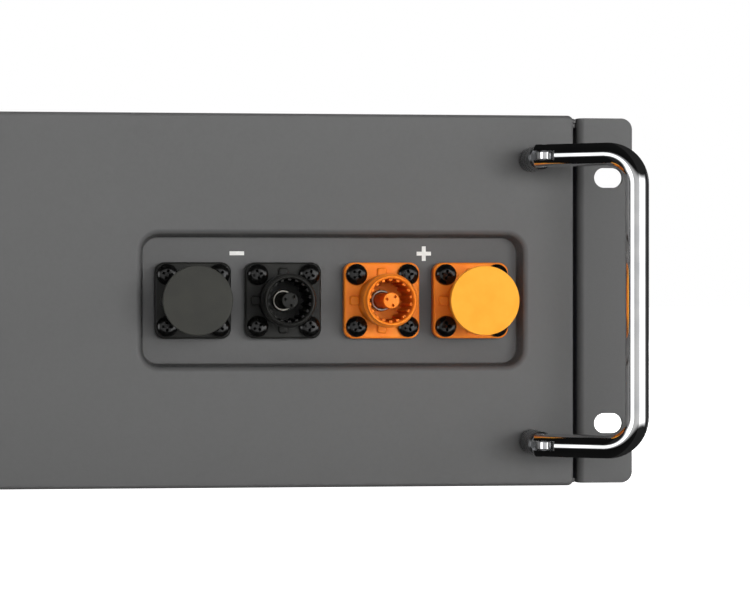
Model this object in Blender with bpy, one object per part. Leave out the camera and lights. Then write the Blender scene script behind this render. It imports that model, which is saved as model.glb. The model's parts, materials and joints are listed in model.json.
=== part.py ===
"""Battery box: a 19-inch, 3U rack-mount battery module, modelled as its separate pieces.

Frame: +Z up, +X to the right as seen from the front, and the front faces -Y. The origin is the
centre of the chassis's bottom face. All sizes are in metres.
"""
import math

import bmesh
import bpy
from mathutils import Matrix

MM = 0.001

# Enclosure
BODY_WIDTH = 442.0 * MM
BODY_HEIGHT = 132.0 * MM
BODY_DEPTH = 420.0 * MM
SHEET = 1.5 * MM
GAP = 0.3 * MM                     # clearance between pieces that touch
FRONT_FLANGE = 14.0 * MM           # inward flange round the chassis mouth
LID_LIP = 8.0 * MM

# Front panel, a shallow pan that stands in front of the chassis
PANEL_INSET = 4.0 * MM             # from the body's side to the panel's edge
PANEL_STANDOFF = 15.0 * MM         # from the chassis's front to the panel's face
PANEL_EDGE = 1.2 * MM              # roll of the panel's front edge
PANEL_CORNER = 2.0 * MM

# Rack ears
EAR_REACH = 20.3 * MM              # from the body's side to the ear's outer edge
EAR_THICK = 2.0 * MM
EAR_FRONT = 2.5 * MM               # from the chassis's front to the ear's face
EAR_LEG = 32.0 * MM
EAR_CORNER = 4.0 * MM
EAR_BEND = 2.6 * MM
SLOT_FROM_EDGE = 8.75 * MM
SLOT_PITCH = 88.9 * MM
SLOT_LENGTH = 10.4 * MM
SLOT_HEIGHT = 7.2 * MM
SLOT_END_FLAT = 0.01 * MM          # flat left at a slot's rounded ends

# Connectors
FLANGE = 27.0 * MM
FLANGE_CORNER = 3.0 * MM
FLANGE_THICK = 4.6 * MM
FLANGE_BEVEL = 0.8 * MM
GASKET_THICK = 1.2 * MM
FLANGE_SPACE = 5.0 * MM            # between the two flanges of one polarity
POLARITY_SPACE = 8.2 * MM          # between the two polarities' flanges
PAIR_STEP = FLANGE + FLANGE_SPACE  # between the two sockets of one polarity
POLARITY_STEP = PAIR_STEP + FLANGE + POLARITY_SPACE
SHELL_LENGTH = 25.4 * MM
NECK_RADIUS = 8.2 * MM
NECK_ROOT = 0.5 * MM               # spread of the neck where it meets the flange
NECK_ROOT_HEIGHT = 2.4 * MM
BOSS_TOP = 1.0 * MM                # from the flange's face back to where the boss starts
COLLAR_RADIUS = 9.4 * MM
COLLAR_BACK = 15.2 * MM            # heights over the flange's face
COLLAR_FRONT = 21.8 * MM
COLLAR_SLOPE = 0.5 * MM
LIP_WALL = 1.1 * MM
LIP_EDGE = 0.4 * MM
BORE_RADIUS = 7.6 * MM
BORE_DEPTH = 3.0 * MM              # below the flange's face
CONTACT_RADIUS = 3.6 * MM
CONTACT_WALL = 0.5 * MM
CONTACT_TAIL = 34.0 * MM
STUD_RADIUS = 3.2 * MM
BOSS_RADIUS = 9.0 * MM
BOSS_LENGTH = 9.0 * MM             # behind the pocket's floor
GUARD_FRONT = 24.6 * MM
GUARD_EDGE = 0.3 * MM
SCREW_PITCH = 18.4 * MM
SCREW_HEAD_RADIUS = 3.8 * MM
SCREW_HEAD_HEIGHT = 3.0 * MM
SCREW_SHANK_RADIUS = 1.5 * MM
SCREW_REACH = 3.5 * MM             # shank behind the pocket's floor
CAP_RADIUS = 12.0 * MM
CAP_THICK = 3.4 * MM
CAP_EDGE = 0.4 * MM
CAP_PLUG_LENGTH = 9.0 * MM
CAP_PLUG_WALL = 1.9 * MM

# Pockets, each a tray behind an opening in the panel
POCKET_DEPTH = 9.8 * MM
POCKET_DRAFT = 2.6 * MM            # how far each wall leans over the pocket's depth
POCKET_CORNER = 5.5 * MM
POCKET_SIDE_MARGIN = 4.15 * MM     # from the last flange to the pocket's side
POCKET_TOP_MARGIN = 9.1 * MM
POCKET_FROM_EDGE = 16.2 * MM       # from the panel's edge to the pocket's mouth

# Folding handles
HANDLE_PITCH = 100.0 * MM
HANDLE_FROM_EDGE = 15.6 * MM
POST_RADIUS = 4.25 * MM
POST_HEIGHT = 20.0 * MM
POST_EDGE = 0.5 * MM
PIVOT_HEIGHT = 26.0 * MM           # from the panel's face to the hinge's axis
TONGUE_THICK = 2.6 * MM
TONGUE_WIDTH = 5.8 * MM
TONGUE_ROOT = 2.0 * MM             # tongue sunk in the post's head
BAIL_RADIUS = 4.0 * MM
BAIL_REACH = 33.0 * MM             # from the hinge's axis to the bar's centre
BAIL_BEND = 10.5 * MM
BAIL_TAIL = 3.6 * MM               # leg beyond the hinge's axis
FORK_ROOT = 4.5 * MM
PIN_RADIUS = 1.2 * MM
BAIL_LEAN = math.radians(60.0)     # lean at rest, from square to the panel

# Control pocket on the left
BUTTON_RADIUS = 6.5 * MM
BUTTON_PROUD = 5.0 * MM
BUTTON_COLLAR = 1.5 * MM
BUTTON_TRAVEL = 2.0 * MM
BUTTON_EDGE = 0.5 * MM
LENS_LENGTH = 46.0 * MM
LENS_HEIGHT = 7.0 * MM
LENS_PROUD = 0.6 * MM
PORT_WIDTH = 16.0 * MM
PORT_HEIGHT = 14.0 * MM
PORT_LENGTH = 19.0 * MM
PORT_WALL = 1.6 * MM
PORT_PROUD = 1.2 * MM
PORT_STEP = 24.0 * MM
PORT_FROM_END = 16.0 * MM          # from the pocket's inner end to the first port's centre

# Inside
FRONT_BAY = 60.0 * MM
BANK_SPACE = 5.0 * MM
BANK_REAR_SPACE = 6.0 * MM
BANK_SIDE_SPACE = 27.5 * MM
BANK_FLOOR_SPACE = 1.0 * MM
BANK_HEADROOM = 10.0 * MM
CELLS_PER_BANK = 8
CELL_GROOVE = 1.0 * MM
CELL_GROOVE_DEPTH = 3.0 * MM
BUSBAR_THICK = 2.0 * MM
BUSBAR_SIDE = 8.0 * MM             # busbar beyond each stud's centre
BUSBAR_OVERLAP = 20.0 * MM         # busbar over the cells
LINK_WIDTH = 30.0 * MM
LINK_OVERLAP = 15.0 * MM
BOARD_THICK = 1.6 * MM
BOARD_BEHIND_BANK = 14.0 * MM      # from the board to the cells
BOARD_MARGIN = 14.0 * MM

# Places worked out from the sizes above
MID_Z = BODY_HEIGHT / 2.0
BODY_HALF = BODY_WIDTH / 2.0
CHASSIS_FRONT = -BODY_DEPTH / 2.0
PANEL_FRONT = CHASSIS_FRONT - PANEL_STANDOFF
PANEL_HALF = BODY_HALF - PANEL_INSET
FLOOR_FRONT = PANEL_FRONT + POCKET_DEPTH
FLOOR_BACK = FLOOR_FRONT + SHEET
FLANGE_FRONT = FLOOR_FRONT - GAP - GASKET_THICK - GAP - FLANGE_THICK
FLOOR_WIDTH = POLARITY_STEP + PAIR_STEP + FLANGE + 2.0 * POCKET_SIDE_MARGIN
FLOOR_HEIGHT = FLANGE + 2.0 * POCKET_TOP_MARGIN
POCKET_X = PANEL_HALF - POCKET_FROM_EDGE - POCKET_DRAFT - FLOOR_WIDTH / 2.0
HANDLE_X = PANEL_HALF - HANDLE_FROM_EDGE
PIVOT_Y = PANEL_FRONT - PIVOT_HEIGHT
EAR_EDGE = BODY_HALF + EAR_REACH
SLOT_X = EAR_EDGE - SLOT_FROM_EDGE
EAR_FACE = CHASSIS_FRONT - EAR_FRONT
INNER_HALF = BODY_HALF - SHEET
INNER_FRONT = CHASSIS_FRONT + SHEET
INNER_BACK = BODY_DEPTH / 2.0 - SHEET
BANK_FRONT = INNER_FRONT + FRONT_BAY
BANK_DEPTH = (INNER_BACK - BANK_REAR_SPACE - BANK_SPACE - BANK_FRONT) / 2.0
BANK_BOTTOM = SHEET + BANK_FLOOR_SPACE
BANK_TOP = BODY_HEIGHT - SHEET - BANK_HEADROOM
BANK_HALF = INNER_HALF - BANK_SIDE_SPACE
SOCKETS = (
    ("negative_outer", POCKET_X - POLARITY_STEP / 2.0 - PAIR_STEP / 2.0),
    ("negative_inner", POCKET_X - POLARITY_STEP / 2.0 + PAIR_STEP / 2.0),
    ("positive_inner", POCKET_X + POLARITY_STEP / 2.0 - PAIR_STEP / 2.0),
    ("positive_outer", POCKET_X + POLARITY_STEP / 2.0 + PAIR_STEP / 2.0),
)
SIDES = (("right", 1.0), ("left", -1.0))
LEVELS = (("upper", 1.0), ("lower", -1.0))
ROUND = 20                         # facets round a connector
SMALL_ROUND = 10                   # facets round a screw or a pin

# Finishes: sRGB colour, roughness, metallic
FINISHES = {
    "grey_powder_coat": ((0.41, 0.41, 0.42), 0.55, 0.0),
    "galvanised_sheet": ((0.55, 0.56, 0.57), 0.45, 1.0),
    "chrome": ((0.82, 0.82, 0.83), 0.12, 1.0),
    "black_nylon": ((0.17, 0.17, 0.16), 0.45, 0.0),
    "orange_nylon": ((0.96, 0.56, 0.20), 0.45, 0.0),
    "black_rubber": ((0.10, 0.10, 0.10), 0.8, 0.0),
    "silvered_copper": ((0.80, 0.79, 0.76), 0.25, 1.0),
    "copper": ((0.78, 0.45, 0.30), 0.35, 1.0),
    "black_steel": ((0.06, 0.06, 0.06), 0.3, 0.6),
    "blue_cell_wrap": ((0.10, 0.28, 0.55), 0.4, 0.0),
    "green_board": ((0.05, 0.30, 0.15), 0.4, 0.0),
    "smoked_lens": ((0.08, 0.09, 0.10), 0.1, 0.0),
}


def finish(name):
    """One Principled material for each finish, made the first time that it is asked for."""
    material = bpy.data.materials.get(name)
    if material:
        return material
    colour, roughness, metallic = FINISHES[name]
    material = bpy.data.materials.new(name)
    material.use_nodes = True
    shader = material.node_tree.nodes["Principled BSDF"]
    linear = [((c + 0.055) / 1.055) ** 2.4 if c > 0.04045 else c / 12.92 for c in colour]
    shader.inputs["Base Color"].default_value = (*linear, 1.0)
    shader.inputs["Roughness"].default_value = roughness
    shader.inputs["Metallic"].default_value = metallic
    return material


def add_object(name, mesh, finish_name, location=(0.0, 0.0, 0.0)):
    """Place a mesh as a named piece with its own copy of the mesh and its finish."""
    mesh.name = name
    mesh.materials.clear()
    mesh.materials.append(finish(finish_name))
    mesh.shade_smooth()
    mesh.set_sharp_from_angle(angle=math.radians(30.0))
    piece = bpy.data.objects.new(name, mesh)
    piece.location = location
    bpy.context.scene.collection.objects.link(piece)
    return piece


def add_cutter(name, mesh):
    """Place a mesh that only shapes other pieces."""
    cutter = bpy.data.objects.new(name, mesh)
    cutter.hide_render = True
    cutter.display_type = "WIRE"
    bpy.context.scene.collection.objects.link(cutter)
    return cutter


def combine(piece, tool, operation):
    """Add a live Boolean of one tool to a piece."""
    boolean = piece.modifiers.new(tool.name, "BOOLEAN")
    boolean.operation = operation
    boolean.solver = "EXACT"
    boolean.object = tool


def finished_mesh(piece):
    """The piece's mesh with its modifiers applied, for use in copies of it."""
    graph = bpy.context.evaluated_depsgraph_get()
    return bpy.data.meshes.new_from_object(piece.evaluated_get(graph))


def close_mesh(bm, name):
    """Merge doubles, turn the faces outwards and hand the shape over as a mesh."""
    bmesh.ops.remove_doubles(bm, verts=bm.verts, dist=1e-6)
    bmesh.ops.recalc_face_normals(bm, faces=bm.faces)
    mesh = bpy.data.meshes.new(name)
    bm.to_mesh(mesh)
    bm.free()
    return mesh


def block_mesh(name, low, high):
    """A box between two corners."""
    bm = bmesh.new()
    size = [b - a for a, b in zip(low, high)]
    middle = [(a + b) / 2.0 for a, b in zip(low, high)]
    bmesh.ops.create_cube(bm, size=1.0, matrix=Matrix.Translation(middle) @ Matrix.Diagonal((*size, 1.0)))
    return close_mesh(bm, name)


def turned_mesh(name, profile, segments=ROUND):
    """Spin an outline of (radius, distance forward) about the axis that points out of the front.

    An outline that starts and ends on the axis makes a solid, and any other is closed to a ring.
    """
    bm = bmesh.new()
    verts = [bm.verts.new((radius, -forward, 0.0)) for radius, forward in profile]
    edges = [bm.edges.new(pair) for pair in zip(verts, verts[1:])]
    if profile[0][0] > 0.0:
        edges.append(bm.edges.new((verts[-1], verts[0])))
    bmesh.ops.spin(
        bm, geom=verts + edges, cent=(0.0, 0.0, 0.0), axis=(0.0, 1.0, 0.0),
        angle=2.0 * math.pi, steps=segments, use_merge=True,
    )
    return close_mesh(bm, name)


def lofted_mesh(name, rings):
    """Bridge rings of points in turn and cap both ends."""
    bm = bmesh.new()
    loops = []
    ends = []
    for ring in rings:
        verts = [bm.verts.new(point) for point in ring]
        loops.append([bm.edges.new((verts[i - 1], verts[i])) for i in range(len(verts))])
        ends.append(verts)
    for first, second in zip(loops, loops[1:]):
        bmesh.ops.bridge_loops(bm, edges=first + second)
    bm.faces.new(ends[0])
    bm.faces.new(ends[-1])
    return close_mesh(bm, name)


def rounded_outline(width, height, radius, y, steps=3):
    """Points of a rounded rectangle about the Y axis, in the plane at y."""
    points = []
    for corner in range(4):
        start = corner * math.pi / 2.0
        side_x = 1.0 if corner in (0, 3) else -1.0
        side_z = 1.0 if corner in (0, 1) else -1.0
        for step in range(steps + 1):
            angle = start + step * math.pi / 2.0 / steps
            x = side_x * (width / 2.0 - radius) + radius * math.cos(angle)
            z = side_z * (height / 2.0 - radius) + radius * math.sin(angle)
            points.append((x, y, z))
    return points


def rounded_plate_mesh(name, width, height, radius, front, back, centre=(0.0, 0.0), steps=3):
    """A rounded rectangle from its front plane to its back plane, about centre (x, z)."""
    rings = [rounded_outline(width, height, radius, y, steps) for y in (front, back)]
    placed = [[(x + centre[0], y, z + centre[1]) for x, y, z in ring] for ring in rings]
    return lofted_mesh(name, placed)


def rod_mesh(name, radius, front, back, x=0.0, z=0.0, segments=SMALL_ROUND):
    """A plain round bar along Y."""
    bm = bmesh.new()
    place = Matrix.Translation((x, (front + back) / 2.0, z)) @ Matrix.Rotation(math.pi / 2.0, 4, "X")
    bmesh.ops.create_cone(
        bm, cap_ends=True, segments=segments, radius1=radius, radius2=radius,
        depth=abs(back - front), matrix=place,
    )
    return close_mesh(bm, name)


def joined_mesh(name, meshes):
    """Put shapes that don't touch into one mesh, for a cutter."""
    bm = bmesh.new()
    for mesh in meshes:
        bm.from_mesh(mesh)
    return close_mesh(bm, name)


def make_chassis():
    """Tray with a back wall and a front flange, open at the top and the mouth."""
    top = BODY_HEIGHT - SHEET - GAP
    chassis = add_object(
        "chassis",
        block_mesh("chassis", (-BODY_HALF, CHASSIS_FRONT, 0.0), (BODY_HALF, -CHASSIS_FRONT, top)),
        "galvanised_sheet",
    )
    over = BODY_HEIGHT + SHEET
    inside = block_mesh("inside", (-INNER_HALF, INNER_FRONT, SHEET), (INNER_HALF, INNER_BACK, over))
    combine(chassis, add_cutter("chassis_inside", inside), "DIFFERENCE")
    mouth_half = BODY_HALF - FRONT_FLANGE
    mouth = block_mesh(
        "mouth",
        (-mouth_half, CHASSIS_FRONT - SHEET, FRONT_FLANGE), (mouth_half, INNER_FRONT + SHEET, over),
    )
    combine(chassis, add_cutter("chassis_mouth", mouth), "DIFFERENCE")


def make_top_cover():
    """Lid whose down-turned lips sit inside the chassis's walls."""
    under = BODY_HEIGHT - SHEET
    cover = add_object(
        "top_cover",
        block_mesh("top_cover", (-BODY_HALF, CHASSIS_FRONT, under), (BODY_HALF, -CHASSIS_FRONT, BODY_HEIGHT)),
        "galvanised_sheet",
    )
    lip_half = INNER_HALF - GAP
    for side, sign in SIDES:
        edges = sorted((sign * lip_half, sign * (lip_half - SHEET)))
        lip = block_mesh(
            "lip", (edges[0], INNER_FRONT + GAP, under - LID_LIP), (edges[1], INNER_BACK - GAP, under + SHEET / 2.0)
        )
        combine(cover, add_cutter("lid_lip_" + side, lip), "UNION")


def pocket_tub(name, x):
    """A pocket's tray before it is hollowed: drafted, from behind the panel to the floor's back."""
    lining = 2.0 * SHEET
    wide = rounded_outline(
        FLOOR_WIDTH + 2.0 * POCKET_DRAFT + lining, FLOOR_HEIGHT + 2.0 * POCKET_DRAFT + lining,
        POCKET_CORNER + POCKET_DRAFT + SHEET, PANEL_FRONT + SHEET + GAP,
    )
    narrow = rounded_outline(FLOOR_WIDTH + lining, FLOOR_HEIGHT + lining, POCKET_CORNER + SHEET, FLOOR_BACK)
    return lofted_mesh(name, [shifted(wide, x), shifted(narrow, x)])


def pocket_space(name, x):
    """The drafted hollow of a pocket, run a little way out past the panel's face."""
    lean = POCKET_DRAFT * (1.0 + SHEET / POCKET_DEPTH)
    wide = rounded_outline(
        FLOOR_WIDTH + 2.0 * lean, FLOOR_HEIGHT + 2.0 * lean, POCKET_CORNER + lean, PANEL_FRONT - SHEET
    )
    narrow = rounded_outline(FLOOR_WIDTH, FLOOR_HEIGHT, POCKET_CORNER, FLOOR_FRONT)
    return add_cutter(name, lofted_mesh(name, [shifted(wide, x), shifted(narrow, x)]))


def shifted(points, x):
    """Move an outline about the Y axis to a pocket's or a panel's centre."""
    return [(px + x, y, z + MID_Z) for px, y, z in points]


def make_front_panel():
    """Pan with rolled edges and the mouths of the two pockets."""
    back = CHASSIS_FRONT - GAP
    width = 2.0 * PANEL_HALF
    rings = [shifted(rounded_outline(width, BODY_HEIGHT, PANEL_CORNER, back), 0.0)]
    roll_steps = 3
    for step in range(roll_steps + 1):
        angle = step * math.pi / 2.0 / roll_steps
        inset = PANEL_EDGE * (1.0 - math.cos(angle))
        y = PANEL_FRONT + PANEL_EDGE * (1.0 - math.sin(angle))
        corner = PANEL_CORNER - inset
        ring = rounded_outline(width - 2.0 * inset, BODY_HEIGHT - 2.0 * inset, corner, y)
        rings.append(shifted(ring, 0.0))
    panel = add_object("front_panel", lofted_mesh("front_panel", rings), "grey_powder_coat")
    hollow = block_mesh(
        "hollow",
        (SHEET - PANEL_HALF, PANEL_FRONT + SHEET, SHEET), (PANEL_HALF - SHEET, 0.0, BODY_HEIGHT - SHEET),
    )
    combine(panel, add_cutter("panel_hollow", hollow), "DIFFERENCE")
    for side, sign in SIDES:
        combine(panel, pocket_space("pocket_mouth_" + side, sign * POCKET_X), "DIFFERENCE")


def make_pocket_tray(name, x, holes):
    """Drafted tray behind one of the panel's mouths, with holes for all that it carries."""
    tray = add_object(name, pocket_tub(name, x), "grey_powder_coat")
    combine(tray, pocket_space(name + "_space", x), "DIFFERENCE")
    combine(tray, add_cutter(name + "_holes", joined_mesh(name + "_holes", holes)), "DIFFERENCE")


def make_pocket_trays():
    """The sockets' tray on the right and the controls' tray on the left."""
    through = (FLOOR_FRONT - SHEET, FLOOR_BACK + SHEET)
    holes = []
    for _, x in SOCKETS:
        holes.append(rod_mesh("hole", BOSS_RADIUS + GAP, *through, x, MID_Z, ROUND))
        holes += [rod_mesh("hole", SCREW_SHANK_RADIUS + GAP, *through, *place) for place in screw_places(x)]
    make_pocket_tray("socket_tray", POCKET_X, holes)
    holes = [rod_mesh("hole", BUTTON_RADIUS + GAP, *through, button_x(), MID_Z, ROUND)]
    holes.append(
        rounded_plate_mesh(
            "hole", LENS_LENGTH + 2.0 * GAP, LENS_HEIGHT + 2.0 * GAP, LENS_HEIGHT / 2.0, *through, lens_centre()
        )
    )
    block_half = (PORT_STEP + PORT_WIDTH) / 2.0 + GAP
    low = (port_block_x() - block_half, through[0], MID_Z - PORT_HEIGHT / 2.0 - GAP)
    high = (port_block_x() + block_half, through[1], MID_Z + PORT_HEIGHT / 2.0 + GAP)
    holes.append(block_mesh("hole", low, high))
    make_pocket_tray("control_tray", -POCKET_X, holes)


def make_rack_ear(side, sign):
    """Bent bracket: a slotted ear in front and a leg along the chassis's side."""
    inner = BODY_HALF + GAP
    outline = [(EAR_EDGE, EAR_FACE), (EAR_EDGE, EAR_FACE + EAR_THICK)]
    outline += [(inner + EAR_THICK, EAR_FACE + EAR_THICK), (inner + EAR_THICK, EAR_FACE + EAR_LEG)]
    outline += [(inner, EAR_FACE + EAR_LEG)]
    bend_steps = 4
    for step in range(bend_steps + 1):
        angle = step * math.pi / 2.0 / bend_steps
        x = inner + EAR_BEND * (1.0 - math.cos(angle))
        outline.append((x, EAR_FACE + EAR_BEND * (1.0 - math.sin(angle))))
    rings = [[(sign * x, y, z) for x, y in outline] for z in (0.0, BODY_HEIGHT)]
    ear = add_object("rack_ear_" + side, lofted_mesh("rack_ear", rings), "grey_powder_coat")
    reach = 2.0 * EAR_CORNER + EAR_REACH
    shape = rounded_plate_mesh(
        "shape", 2.0 * reach, BODY_HEIGHT, EAR_CORNER, EAR_FACE - SHEET, EAR_FACE + EAR_LEG + SHEET,
        (sign * (EAR_EDGE - reach), MID_Z), 6,
    )
    combine(ear, add_cutter("ear_outline_" + side, shape), "INTERSECT")
    slots = [
        rounded_plate_mesh(
            "slot", SLOT_LENGTH, SLOT_HEIGHT, SLOT_HEIGHT / 2.0 - SLOT_END_FLAT,
            EAR_FACE - SHEET, EAR_FACE + 2.0 * EAR_THICK, (sign * SLOT_X, MID_Z + level * SLOT_PITCH / 2.0), 6,
        )
        for _, level in LEVELS
    ]
    combine(ear, add_cutter("ear_slots_" + side, joined_mesh("ear_slots", slots)), "DIFFERENCE")


def post_mesh():
    """Handle post: a round foot with a flat tongue that the fork straddles."""
    foot = turned_mesh("foot", [
        (0.0, GAP), (POST_RADIUS, GAP), (POST_RADIUS, POST_HEIGHT - POST_EDGE),
        (POST_RADIUS - POST_EDGE, POST_HEIGHT), (0.0, POST_HEIGHT),
    ])
    post = add_cutter("handle_post_shape", foot)
    half = TONGUE_WIDTH / 2.0
    outline = [(half, TONGUE_ROOT - POST_HEIGHT), (half, -PIVOT_HEIGHT)]
    tip_steps = 6
    for step in range(1, tip_steps):
        angle = step * math.pi / tip_steps
        outline.append((half * math.cos(angle), -PIVOT_HEIGHT - half * math.sin(angle)))
    outline += [(-half, -PIVOT_HEIGHT), (-half, TONGUE_ROOT - POST_HEIGHT)]
    rings = [[(x, y, z) for x, y in outline] for z in (-TONGUE_THICK / 2.0, TONGUE_THICK / 2.0)]
    combine(post, add_cutter("handle_tongue", lofted_mesh("tongue", rings)), "UNION")
    hole = upright_rod_mesh("pin_hole", PIN_RADIUS + GAP, 2.0 * POST_RADIUS, -PIVOT_HEIGHT)
    combine(post, add_cutter("handle_pin_hole", hole), "DIFFERENCE")
    return finished_mesh(post)


def upright_rod_mesh(name, radius, length, y=0.0, z=0.0):
    """A plain round bar along Z, centred on z."""
    bm = bmesh.new()
    bmesh.ops.create_cone(
        bm, cap_ends=True, segments=SMALL_ROUND, radius1=radius, radius2=radius,
        depth=length, matrix=Matrix.Translation((0.0, y, z)),
    )
    return close_mesh(bm, name)


def bail_mesh():
    """Round bar bent to a U, with both ends slotted and drilled; the hinge is the Z axis."""
    half = HANDLE_PITCH / 2.0
    path = [(BAIL_TAIL, -half, 0.0)]
    bend_steps = 6
    for level, start in ((-1.0, 0.0), (1.0, math.pi / 2.0)):
        for step in range(bend_steps + 1):
            turn = start + step * math.pi / 2.0 / bend_steps
            y = -(BAIL_REACH - BAIL_BEND) - BAIL_BEND * math.sin(turn)
            z = level * (half - BAIL_BEND) - BAIL_BEND * math.cos(turn)
            path.append((y, z, turn))
    path.append((BAIL_TAIL, half, math.pi))
    rings = []
    for y, z, turn in path:
        ring = []
        for facet in range(SMALL_ROUND):
            angle = (facet + 0.5) * 2.0 * math.pi / SMALL_ROUND
            across = BAIL_RADIUS * math.sin(angle)
            out = across * math.sin(turn)
            ring.append((BAIL_RADIUS * math.cos(angle), y - out, z - across * math.cos(turn)))
        rings.append(ring)
    bail = add_cutter("bail_shape", lofted_mesh("bail", rings))
    slot_half = TONGUE_THICK / 2.0 + GAP
    slots = []
    for _, level in LEVELS:
        low = (-2.0 * BAIL_RADIUS, -FORK_ROOT, level * half - slot_half)
        high = (2.0 * BAIL_RADIUS, 2.0 * BAIL_TAIL, level * half + slot_half)
        slots.append(block_mesh("slot", low, high))
    combine(bail, add_cutter("bail_slots", joined_mesh("bail_slots", slots)), "DIFFERENCE")
    holes = [
        upright_rod_mesh("hole", PIN_RADIUS + GAP, 3.0 * BAIL_RADIUS, 0.0, level * half) for _, level in LEVELS
    ]
    combine(bail, add_cutter("bail_holes", joined_mesh("bail_holes", holes)), "DIFFERENCE")
    return finished_mesh(bail)


def make_handles():
    """Two folding handles: posts on the panel, and a bail on two pins each."""
    post = post_mesh()
    bail = bail_mesh()
    for side, sign in SIDES:
        pivot = bpy.data.objects.new("handle_hinge_" + side, None)
        pivot.location = (sign * HANDLE_X, PIVOT_Y, MID_Z)
        pivot.rotation_euler = (0.0, 0.0, sign * BAIL_LEAN)
        bpy.context.scene.collection.objects.link(pivot)
        swung = add_object("handle_bail_" + side, bail.copy(), "chrome")
        swung.parent = pivot
        for level_name, level in LEVELS:
            height = level * HANDLE_PITCH / 2.0
            name = level_name + "_" + side
            add_object("handle_post_" + name, post.copy(), "chrome", (sign * HANDLE_X, PANEL_FRONT, MID_Z + height))
            pin = upright_rod_mesh("pin", PIN_RADIUS, 2.0 * BAIL_RADIUS - 2.0 * GAP, 0.0, height)
            add_object("handle_pin_" + name, pin, "chrome").parent = pivot


def screw_places(x):
    """Centres (x, z) of the four flange screws of the connector at x."""
    half = SCREW_PITCH / 2.0
    return [(x + across * half, MID_Z + level * half) for _, level in LEVELS for across in (-1.0, 1.0)]


def housing_mesh():
    """Square flange, round shell with a collar, and a boss through the pocket's floor."""
    face = FLANGE - 2.0 * FLANGE_BEVEL
    rings = [
        rounded_outline(face, face, FLANGE_CORNER - FLANGE_BEVEL, 0.0),
        rounded_outline(FLANGE, FLANGE, FLANGE_CORNER, FLANGE_BEVEL),
        rounded_outline(FLANGE, FLANGE, FLANGE_CORNER, FLANGE_THICK),
    ]
    housing = add_cutter("housing_shape", lofted_mesh("housing", rings))
    lip_radius = BORE_RADIUS + LIP_WALL
    tail = FLANGE_THICK + 2.0 * GAP + GASKET_THICK + SHEET + BOSS_LENGTH
    shell = turned_mesh("shell", [
        (0.0, -tail), (BOSS_RADIUS, -tail), (BOSS_RADIUS, -BOSS_TOP), (NECK_RADIUS + NECK_ROOT, 0.0),
        (NECK_RADIUS, NECK_ROOT_HEIGHT), (NECK_RADIUS, COLLAR_BACK - COLLAR_SLOPE),
        (COLLAR_RADIUS, COLLAR_BACK), (COLLAR_RADIUS, COLLAR_FRONT), (lip_radius, COLLAR_FRONT + COLLAR_SLOPE),
        (lip_radius, SHELL_LENGTH - LIP_EDGE), (lip_radius - LIP_EDGE, SHELL_LENGTH), (0.0, SHELL_LENGTH),
    ])
    combine(housing, add_cutter("housing_shell", shell), "UNION")
    bore = turned_mesh("bore", [
        (0.0, -2.0 * tail), (CONTACT_RADIUS + GAP, -2.0 * tail), (CONTACT_RADIUS + GAP, -BORE_DEPTH),
        (BORE_RADIUS, -BORE_DEPTH), (BORE_RADIUS, 2.0 * SHELL_LENGTH), (0.0, 2.0 * SHELL_LENGTH),
    ])
    combine(housing, add_cutter("housing_bore", bore), "DIFFERENCE")
    half = SCREW_PITCH / 2.0
    holes = [
        rod_mesh("hole", SCREW_SHANK_RADIUS + GAP, -FLANGE_THICK, 2.0 * FLANGE_THICK, across * half, level * half)
        for _, level in LEVELS for across in (-1.0, 1.0)
    ]
    combine(housing, add_cutter("housing_screw_holes", joined_mesh("holes", holes)), "DIFFERENCE")
    return finished_mesh(housing)


def gasket_mesh():
    """Flat square seal between a flange and the pocket's floor."""
    side = FLANGE - 2.0 * GAP
    gasket = add_cutter(
        "gasket_shape", rounded_plate_mesh("gasket", side, side, FLANGE_CORNER, 0.0, GASKET_THICK)
    )
    half = SCREW_PITCH / 2.0
    holes = [
        rod_mesh("hole", SCREW_SHANK_RADIUS + GAP, -FLANGE_THICK, FLANGE_THICK, across * half, level * half)
        for _, level in LEVELS for across in (-1.0, 1.0)
    ]
    holes.append(rod_mesh("hole", BOSS_RADIUS + GAP, -FLANGE_THICK, FLANGE_THICK, 0.0, 0.0, ROUND))
    combine(gasket, add_cutter("gasket_holes", joined_mesh("gasket_holes", holes)), "DIFFERENCE")
    return finished_mesh(gasket)


def contact_mesh():
    """Tubular contact whose solid tail is the terminal stud."""
    inner = CONTACT_RADIUS - CONTACT_WALL
    tube_end = -FLANGE_THICK - BOSS_LENGTH
    return turned_mesh("contact", [
        (0.0, -CONTACT_TAIL), (STUD_RADIUS, -CONTACT_TAIL), (STUD_RADIUS, tube_end - 2.0 * BUSBAR_THICK),
        (CONTACT_RADIUS, tube_end - 2.0 * BUSBAR_THICK), (CONTACT_RADIUS, 0.0), (inner, 0.0), (inner, tube_end),
        (0.0, tube_end),
    ])


def guard_mesh():
    """Insulating post that keeps fingers off the contact."""
    radius = CONTACT_RADIUS - CONTACT_WALL - GAP
    tail = GAP - FLANGE_THICK - BOSS_LENGTH
    return turned_mesh("guard", [
        (0.0, tail), (radius, tail), (radius, GUARD_FRONT - GUARD_EDGE), (radius - GUARD_EDGE, GUARD_FRONT),
        (0.0, GUARD_FRONT),
    ], SMALL_ROUND)


def screw_mesh():
    """Pan-head screw from the flange's face to behind the pocket's floor."""
    tip = FLANGE_THICK + GASKET_THICK + SHEET + 2.0 * GAP + SCREW_REACH
    return turned_mesh("screw", [
        (0.0, -tip), (SCREW_SHANK_RADIUS, -tip), (SCREW_SHANK_RADIUS, GAP), (SCREW_HEAD_RADIUS, GAP),
        (SCREW_HEAD_RADIUS, 0.55 * SCREW_HEAD_HEIGHT), (0.75 * SCREW_HEAD_RADIUS, SCREW_HEAD_HEIGHT),
        (0.0, SCREW_HEAD_HEIGHT),
    ], SMALL_ROUND)


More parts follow.
